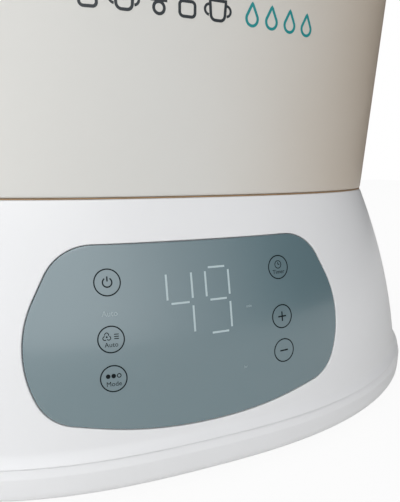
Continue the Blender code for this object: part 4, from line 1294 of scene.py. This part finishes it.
@dataclass
class Lid:
    """The clear dome with its rim bead, steam slots, white grip and two screws."""

    rim_half: float = 126.5
    thickness: float = 2.2
    grip_reach: float = 40.0
    grip_half: float = 3.5

    def _dome(self) -> bpy.types.Object:
        """The dome: half width falls with the cube of the height's share; the top closes in a flat oval."""
        low, high = corners("lid_shell")
        base, rise = float(low[2]), float(high[2] - low[2])
        swing = np.sin(np.linspace(0, 0.94, 44) * np.pi / 2)

        def rings(inset: float) -> Array:
            """Sections of one face, and the sections of its flat top."""
            half = (self.rim_half - inset) * (1 - swing ** 3) ** (1 / 3)
            deep = half - (self.rim_half - inset) + (self.rim_half * PLAN.ratio - inset)
            z = base + (rise - inset) * swing
            end = np.array([half[-1], deep[-1]])
            shares = np.array([0.97, 0.9, 0.75, 0.55, 0.3, 0.0])[:, None]
            top_z = z[-1] + (rise - inset + base - z[-1]) * (1 - shares ** 2)
            side, cap = np.stack([half, deep, z], axis=1), np.concatenate([end * shares, top_z], axis=1)
            return np.concatenate([side, cap])

        outer, inner = rings(0.0), rings(self.thickness)
        bead = filleted([(0.0, base + 3.5, 0), (0.0, base, 0.7), (self.thickness + 1.6, base, 0.7),
                         (self.thickness + 1.6, base + 2.4, 0.7), (self.thickness, base + 3.6, 0)])
        bead_rows = ringed(bead, straight(self.rim_half))
        outer, inner = outer[outer[:, 2] > base + 4.2], inner[inner[:, 2] > base + 4.4]
        rows = np.concatenate([outer[::-1], bead_rows, inner])
        shell = build("clear_dome", [PLAN.loft(rows, PLAN.even(260))])
        z = base + rise
        cuts = [block((x - 1.5, -6, z - 8), (x + 1.5, 6, z + 4)) for x in (-12, 0, 12)]
        hole = np.array([(0, z - 8), (1.9, z - 8), (1.9, z + 4), (0, z + 4)], float)
        cuts += [spun(hole, (x, 0, 0), 24) for x in (-self.grip_reach, self.grip_reach)]
        carve(shell, cuts)
        return shell

    def _grip(self) -> bpy.types.Object:
        """The grip: a rounded section carried along an arch whose two shares satisfy |x|^3 + |z|^3 = 1."""
        low, high = corners("lid_handle")
        base, top = float(low[2]), float(high[2]) - self.grip_half
        turn = np.linspace(0, np.pi, 49)
        c, s = np.cos(turn), np.sin(turn)
        bend = (np.abs(c) ** 3 + np.abs(s) ** 3) ** (-1 / 3)
        x, z = -self.grip_reach * c * bend, base + (top - base) * s * bend
        dx, dz = np.gradient(x), np.gradient(z)
        length = np.hypot(dx, dz)
        out_x, out_z = -dz / length, dx / length
        out_x[[0, -1]], out_z[[0, -1]] = (-1, 1), (0, 0)
        around = np.linspace(0, 2 * np.pi, 40, endpoint=False)
        across = self.grip_half * np.sign(np.cos(around)) * np.abs(np.cos(around)) ** 0.75
        deep = (11 - 1.5 * s)[:, None] * np.sign(np.sin(around)) * np.abs(np.sin(around)) ** 0.75
        points = np.stack([x[:, None] + out_x[:, None] * across, deep,
                           z[:, None] + out_z[:, None] * across], axis=-1)
        ends = [np.broadcast_to(p.mean(axis=0), p.shape)[None] for p in (points[0], points[-1])]
        grip = build("lid_grip", [Patch(np.concatenate([ends[0], points, ends[1]]), wrap_columns=True)])
        bore = np.array([(0, base - 3), (1.8, base - 3), (1.8, base + 6.5), (0, base + 6.5)])
        carve(grip, [spun(bore, (side * self.grip_reach, 0, 0), 24) for side in (-1, 1)])
        return grip

    def make(self) -> None:
        """Builds and dresses the dome, the grip and its screws."""
        finish_piece(self._dome(), CLEAR, "lid", ["lid_shell"])
        finish_piece(self._grip(), WHITE_GLOSS, "lid", ["lid_handle"])
        for number in (1, 2):
            low, high = corners(f"handle_screw_{number}")
            x, y, _ = (low + high) / 2
            z, top = float(low[2]), float(high[2])
            head = filleted([(0, z, 0), (3.3, z, 0.8), (3.6, z + 1.2, 0.3), (3.4, z + 2.4, 0.2),
                             (1.5, z + 2.4, 0.2), (1.5, top - 1.5, 0.4), (0, top, 0)], steps=3)
            screw = build(f"grip_screw_{number}", [spun(head, (x, y, 0), 32)])
            carve(screw, [block((x - 2, y - 0.35, z - 1), (x + 2, y + 0.35, z + 1))])
            finish_piece(screw, STEEL, "lid", [f"handle_screw_{number}"])


@dataclass
class WaterDish:
    """The round steel dish that boils the water, and the ring that seals it."""

    def make(self) -> None:
        """Builds and dresses the dish and its seal."""
        low, high = corners("heating_plate")
        radius, z, top = float(high[0]), float(low[2]), float(high[2])
        dish = filleted([(0, z, 0), (radius - 12, z, 2.0), (radius - 9, z + 2.7, 1.5),
                         (radius - 8.6, top - 2, 0.7),
                         (radius, top - 2, 0.4), (radius, top, 0.9), (radius - 10.4, top, 1.6),
                         (radius - 11, z + 4.3, 1.8), (radius - 13.5, z + 2.2, 2.0), (50, z + 2.2, 0.3),
                         (49.5, z + 1.9, 0.3), (49, z + 2.2, 0.3), (0, z + 2.2, 0)])
        finish_piece(build("steel_water_dish", [spun(dish, sides=128)]), STEEL, "base",
                     ["heating_plate"])
        low, high = corners("plate_seal")
        inner, outer = float(high[0]) - 5.5, float(high[0])
        ring = filleted([(inner, low[2], 0.4), (outer, low[2], 0.4), (outer, high[2], 0.4),
                         (inner, high[2], 0.4)], closed=True, steps=4)
        finish_piece(build("dish_seal_ring", [spun(ring, sides=128, closed=True)]), SILICONE_TAN, "base",
                     ["plate_seal"])


@dataclass
class RearService:
    """The louvred filter cover at the back, and the bushing that a cord passes through."""

    wall: Wall
    opening: Opening
    louvres: int = 6

    def _slab(self, grow: float, front: float, back: float, radius: float = 0.35) -> Patch:
        """A flush plate in the opening: rings of its outline shrunk to the centre, with a soft edge."""
        turn = np.linspace(0, 2 * np.pi, 280, endpoint=False)
        angles = np.linspace(0, np.pi / 2, 5)
        section = [(share, grow - radius, front) for share in (*np.linspace(0, 0.94, 12), 0.98, 1.0)]
        section += [(1.0, grow - radius * (1 - math.sin(a)), front - radius * (1 - math.cos(a)))
                    for a in angles[1:]]
        section += [(share, grow, back) for share in (1.0, 0.9, 0.6, 0.3, 0.0)]
        rings = []
        for share, swell, offset in section:
            along, z = self.opening.edge(turn, swell)
            z = self.opening.centre + (z - self.opening.centre) * share
            rings.append(self.wall.place(along * share, z, np.full(len(turn), offset), self.opening.start))
        return Patch(np.stack(rings), wrap_columns=True)

    def make(self) -> None:
        """Builds and dresses the cover, the frame round the pad and the bushing."""
        low, high = corners("filter_cover")
        cover = build("rear_filter_cover", [self._slab(-0.3, 0.0, -1.0)])
        back = float(low[1])
        frame = build("filter_frame", [block((-31, back, 34), (31, float(high[1]) - 3.2, 72))])
        pad_low, pad_high = corners("air_filter")
        carve(frame, [block((pad_low[0] - 0.3, back - 2, pad_low[2] - 0.3),
                            (pad_high[0] + 0.3, pad_high[1] + 0.3, pad_high[2] + 0.3))])
        slats = [block((-25, 88, 39.0 + 5 * k), (25, 120, 41.4 + 5 * k)) for k in range(self.louvres)]
        carve(cover, slats)
        carve(frame, slats)
        finish_piece(cover, WHITE_GLOSS, "filter", ["filter_cover"])
        finish_piece(frame, WHITE_GLOSS, "filter")
        low, high = corners("cord_gland")
        middle = (low + high) / 2
        reach = float(high[1] - middle[1])
        tube = filleted([(3.4, -reach, 0.4), (6, -reach, 0.6), (6, reach - 8.6, 0.2), (8.5, reach - 7.6, 0.6),
                         (7, reach - 3, 1.0), (5.2, reach, 0.8), (3.4, reach, 0.5)], closed=True, steps=4)
        gland = build("cord_bushing", [along_y(spun(tube, sides=48, closed=True), middle)])
        finish_piece(gland, RUBBER_BLACK, "base", ["cord_gland"])


def dress_inside(frame: dict) -> None:
    """Gives every carried-over inner node its finish."""
    groups = (
        (BOARD_GREEN, ("control_board", "power_board")),
        (PLASTIC_BLACK, ("display_module", "buzzer", "air_duct", "fan_casing", "fan_impeller",
                         "outlet_grille", "thermal_fuse",
                         *(f"touch_pad_{number}" for number in range(1, 7)))),
        (STEEL, ("heater_element", "thermostat", "temperature_sensor", "sensor_bracket", "air_heater",
                 "fan_motor", "motor_shaft")),
        (FILTER_PAPER, ("air_filter",)),
    )
    for finish, nodes in groups:
        for node in nodes:
            dress_node(frame, node, finish)


@dataclass
class Studio:
    """The camera, the pale floor and the soft lights.

    The floor looks almost white to the camera, to meet the white behind it, and pale grey to the object.
    """

    place: tuple[float, float, float] = (-0.0367, -0.2198, 0.1098)
    tilt: float = 77.21
    heading: float = -17.68
    lens: float = 25.82
    floor_size: float = 6.0
    washed_out: float = 0.93
    dim_way: tuple[float, float] = (0.94, 0.34)
    dim_span: tuple[float, float] = (-0.65, 0.5)
    bright_side: tuple[float, float, float] = (1.54, 1.56, 1.58)
    dim_side: tuple[float, float, float] = (0.02, 0.02, 0.02)

    def _camera(self) -> None:
        """A phone's wide lens, close to the front and left of the middle."""
        data = bpy.data.cameras.new("camera")
        data.lens, data.sensor_width, data.clip_start = self.lens, 36.0, 0.01
        camera = bpy.data.objects.new("camera", data)
        camera.location = self.place
        camera.rotation_euler = (math.radians(self.tilt), 0.0, math.radians(self.heading))
        bpy.context.scene.collection.objects.link(camera)
        bpy.context.scene.camera = camera

    def _light(self, name: str, spot: tuple[float, float, float], aim: tuple[float, float, float],
               size: float, watts: float, tint: tuple[float, float, float]) -> None:
        """A square area light aimed at a point."""
        data = bpy.data.lights.new(name, "AREA")
        data.shape, data.size, data.energy, data.color = "SQUARE", size, watts, tint
        lamp = bpy.data.objects.new(name, data)
        lamp.location = spot
        away = np.array(spot) - np.array(aim)
        flat = math.hypot(away[0], away[1])
        lamp.rotation_euler = (math.atan2(flat, away[2]), 0.0, math.atan2(away[0], -away[1]))
        bpy.context.scene.collection.objects.link(lamp)

    def _floor(self) -> None:
        """A wide level floor under the object."""
        size = self.floor_size / 2
        mesh = bpy.data.meshes.new("floor")
        corners_of_floor = [(-size, -size, 0), (size, -size, 0), (size, size, 0), (-size, size, 0)]
        mesh.from_pydata(corners_of_floor, [], [(0, 1, 2, 3)])
        floor = bpy.data.objects.new("floor", mesh)
        bpy.context.scene.collection.objects.link(floor)
        pale = Finish("floor_pale", (0.76, 0.755, 0.74), 0.7, drift=0.01, glow=0.06).material()
        mesh.materials.append(pale)
        graph = Graph(pale.node_tree)
        output, lit = pale.node_tree.nodes["Material Output"], pale.node_tree.nodes["Principled BSDF"]
        white = graph.add("Emission", Color=(1.0, 1.0, 1.0, 1.0), Strength=1.0)
        share = graph.math("MULTIPLY", graph.add("LightPath").outputs["Is Camera Ray"], self.washed_out)
        both = graph.add("MixShader", in_0=share, in_1=lit.outputs[0], in_2=white.outputs[0])
        pale.node_tree.links.new(both.outputs[0], output.inputs["Surface"])

    def _world(self) -> None:
        """White behind the object; for the rest a room bright at its front left and dim at its rear right."""
        world = bpy.data.worlds.new("room")
        bpy.context.scene.world = world
        world.use_nodes = True
        graph = Graph(world.node_tree)
        room = world.node_tree.nodes["Background"]
        parts = graph.add("SeparateXYZ", Vector=graph.add("TexCoord").outputs["Generated"]).outputs
        across = graph.math("ADD", graph.math("MULTIPLY", parts[0], self.dim_way[0]),
                            graph.math("MULTIPLY", parts[1], self.dim_way[1]))
        side = graph.add("MapRange", {"interpolation_type": "SMOOTHSTEP"}, in_0=across,
                         in_1=self.dim_span[0], in_2=self.dim_span[1], in_3=0.0, in_4=1.0)
        tint = graph.mix(side.outputs[0], (*self.bright_side, 1.0), (*self.dim_side, 1.0))
        world.node_tree.links.new(tint, room.inputs["Color"])
        seen = graph.add("Background", Color=(1.0, 1.0, 1.0, 1.0), Strength=1.0)
        path = graph.add("LightPath")
        both = graph.add("MixShader", in_0=path.outputs["Is Camera Ray"], in_1=room.outputs[0],
                         in_2=seen.outputs[0])
        world.node_tree.links.new(both.outputs[0], world.node_tree.nodes["World Output"].inputs["Surface"])

    def make(self) -> None:
        """Sets up the camera, the floor, the room light and the lamps."""
        self._camera()
        self._floor()
        self._world()
        self._light("key", (-0.7, -1.0, 1.3), (0, 0, 0.12), 1.0, 3.0, (1.0, 0.99, 0.97))
        self._light("back", (0.2, 1.5, 1.4), (0, 0, 0.15), 1.2, 5.0, (1.0, 1.0, 1.0))
        bpy.context.scene.view_settings.view_transform = "Standard"


def openings() -> tuple[Opening, Opening]:
    """The panel's and the filter bay's outlines in the housing's wall."""
    panel = rounded_polygon([(0, 85.8, 0), (46.5, 85.8, 17.5), (63.3, 53.5, 36.0), (53.0, 30.3, 15.0),
                             (0, 19.4, 175.0)])
    bay = filleted([(-35, 30, 7), (35, 30, 7), (35, 76, 7), (-35, 76, 7)], closed=True, steps=10)
    return Opening(panel, 55.0, 0.0, 0.56), Opening(bay, 53.0, PLAN.half_run, 0.4)


def main() -> None:
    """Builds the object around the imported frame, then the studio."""
    logging.basicConfig(level=logging.INFO, format="%(message)s")
    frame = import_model()
    panel, bay = openings()
    housing = Housing(panel, bay)
    housing.make()
    ControlPanel(housing.wall, panel).make()
    SleeveBody().make()
    BottleRack().make()
    AccessoryTray().make()
    Lid().make()
    WaterDish().make()
    RearService(housing.wall, bay).make()
    dress_inside(frame)
    Studio().make()
    for start_up in [obj for obj in bpy.data.objects if obj.name in ("Cube", "Light", "Camera")]:
        bpy.data.objects.remove(start_up)


if __name__ == "__main__":
    main()
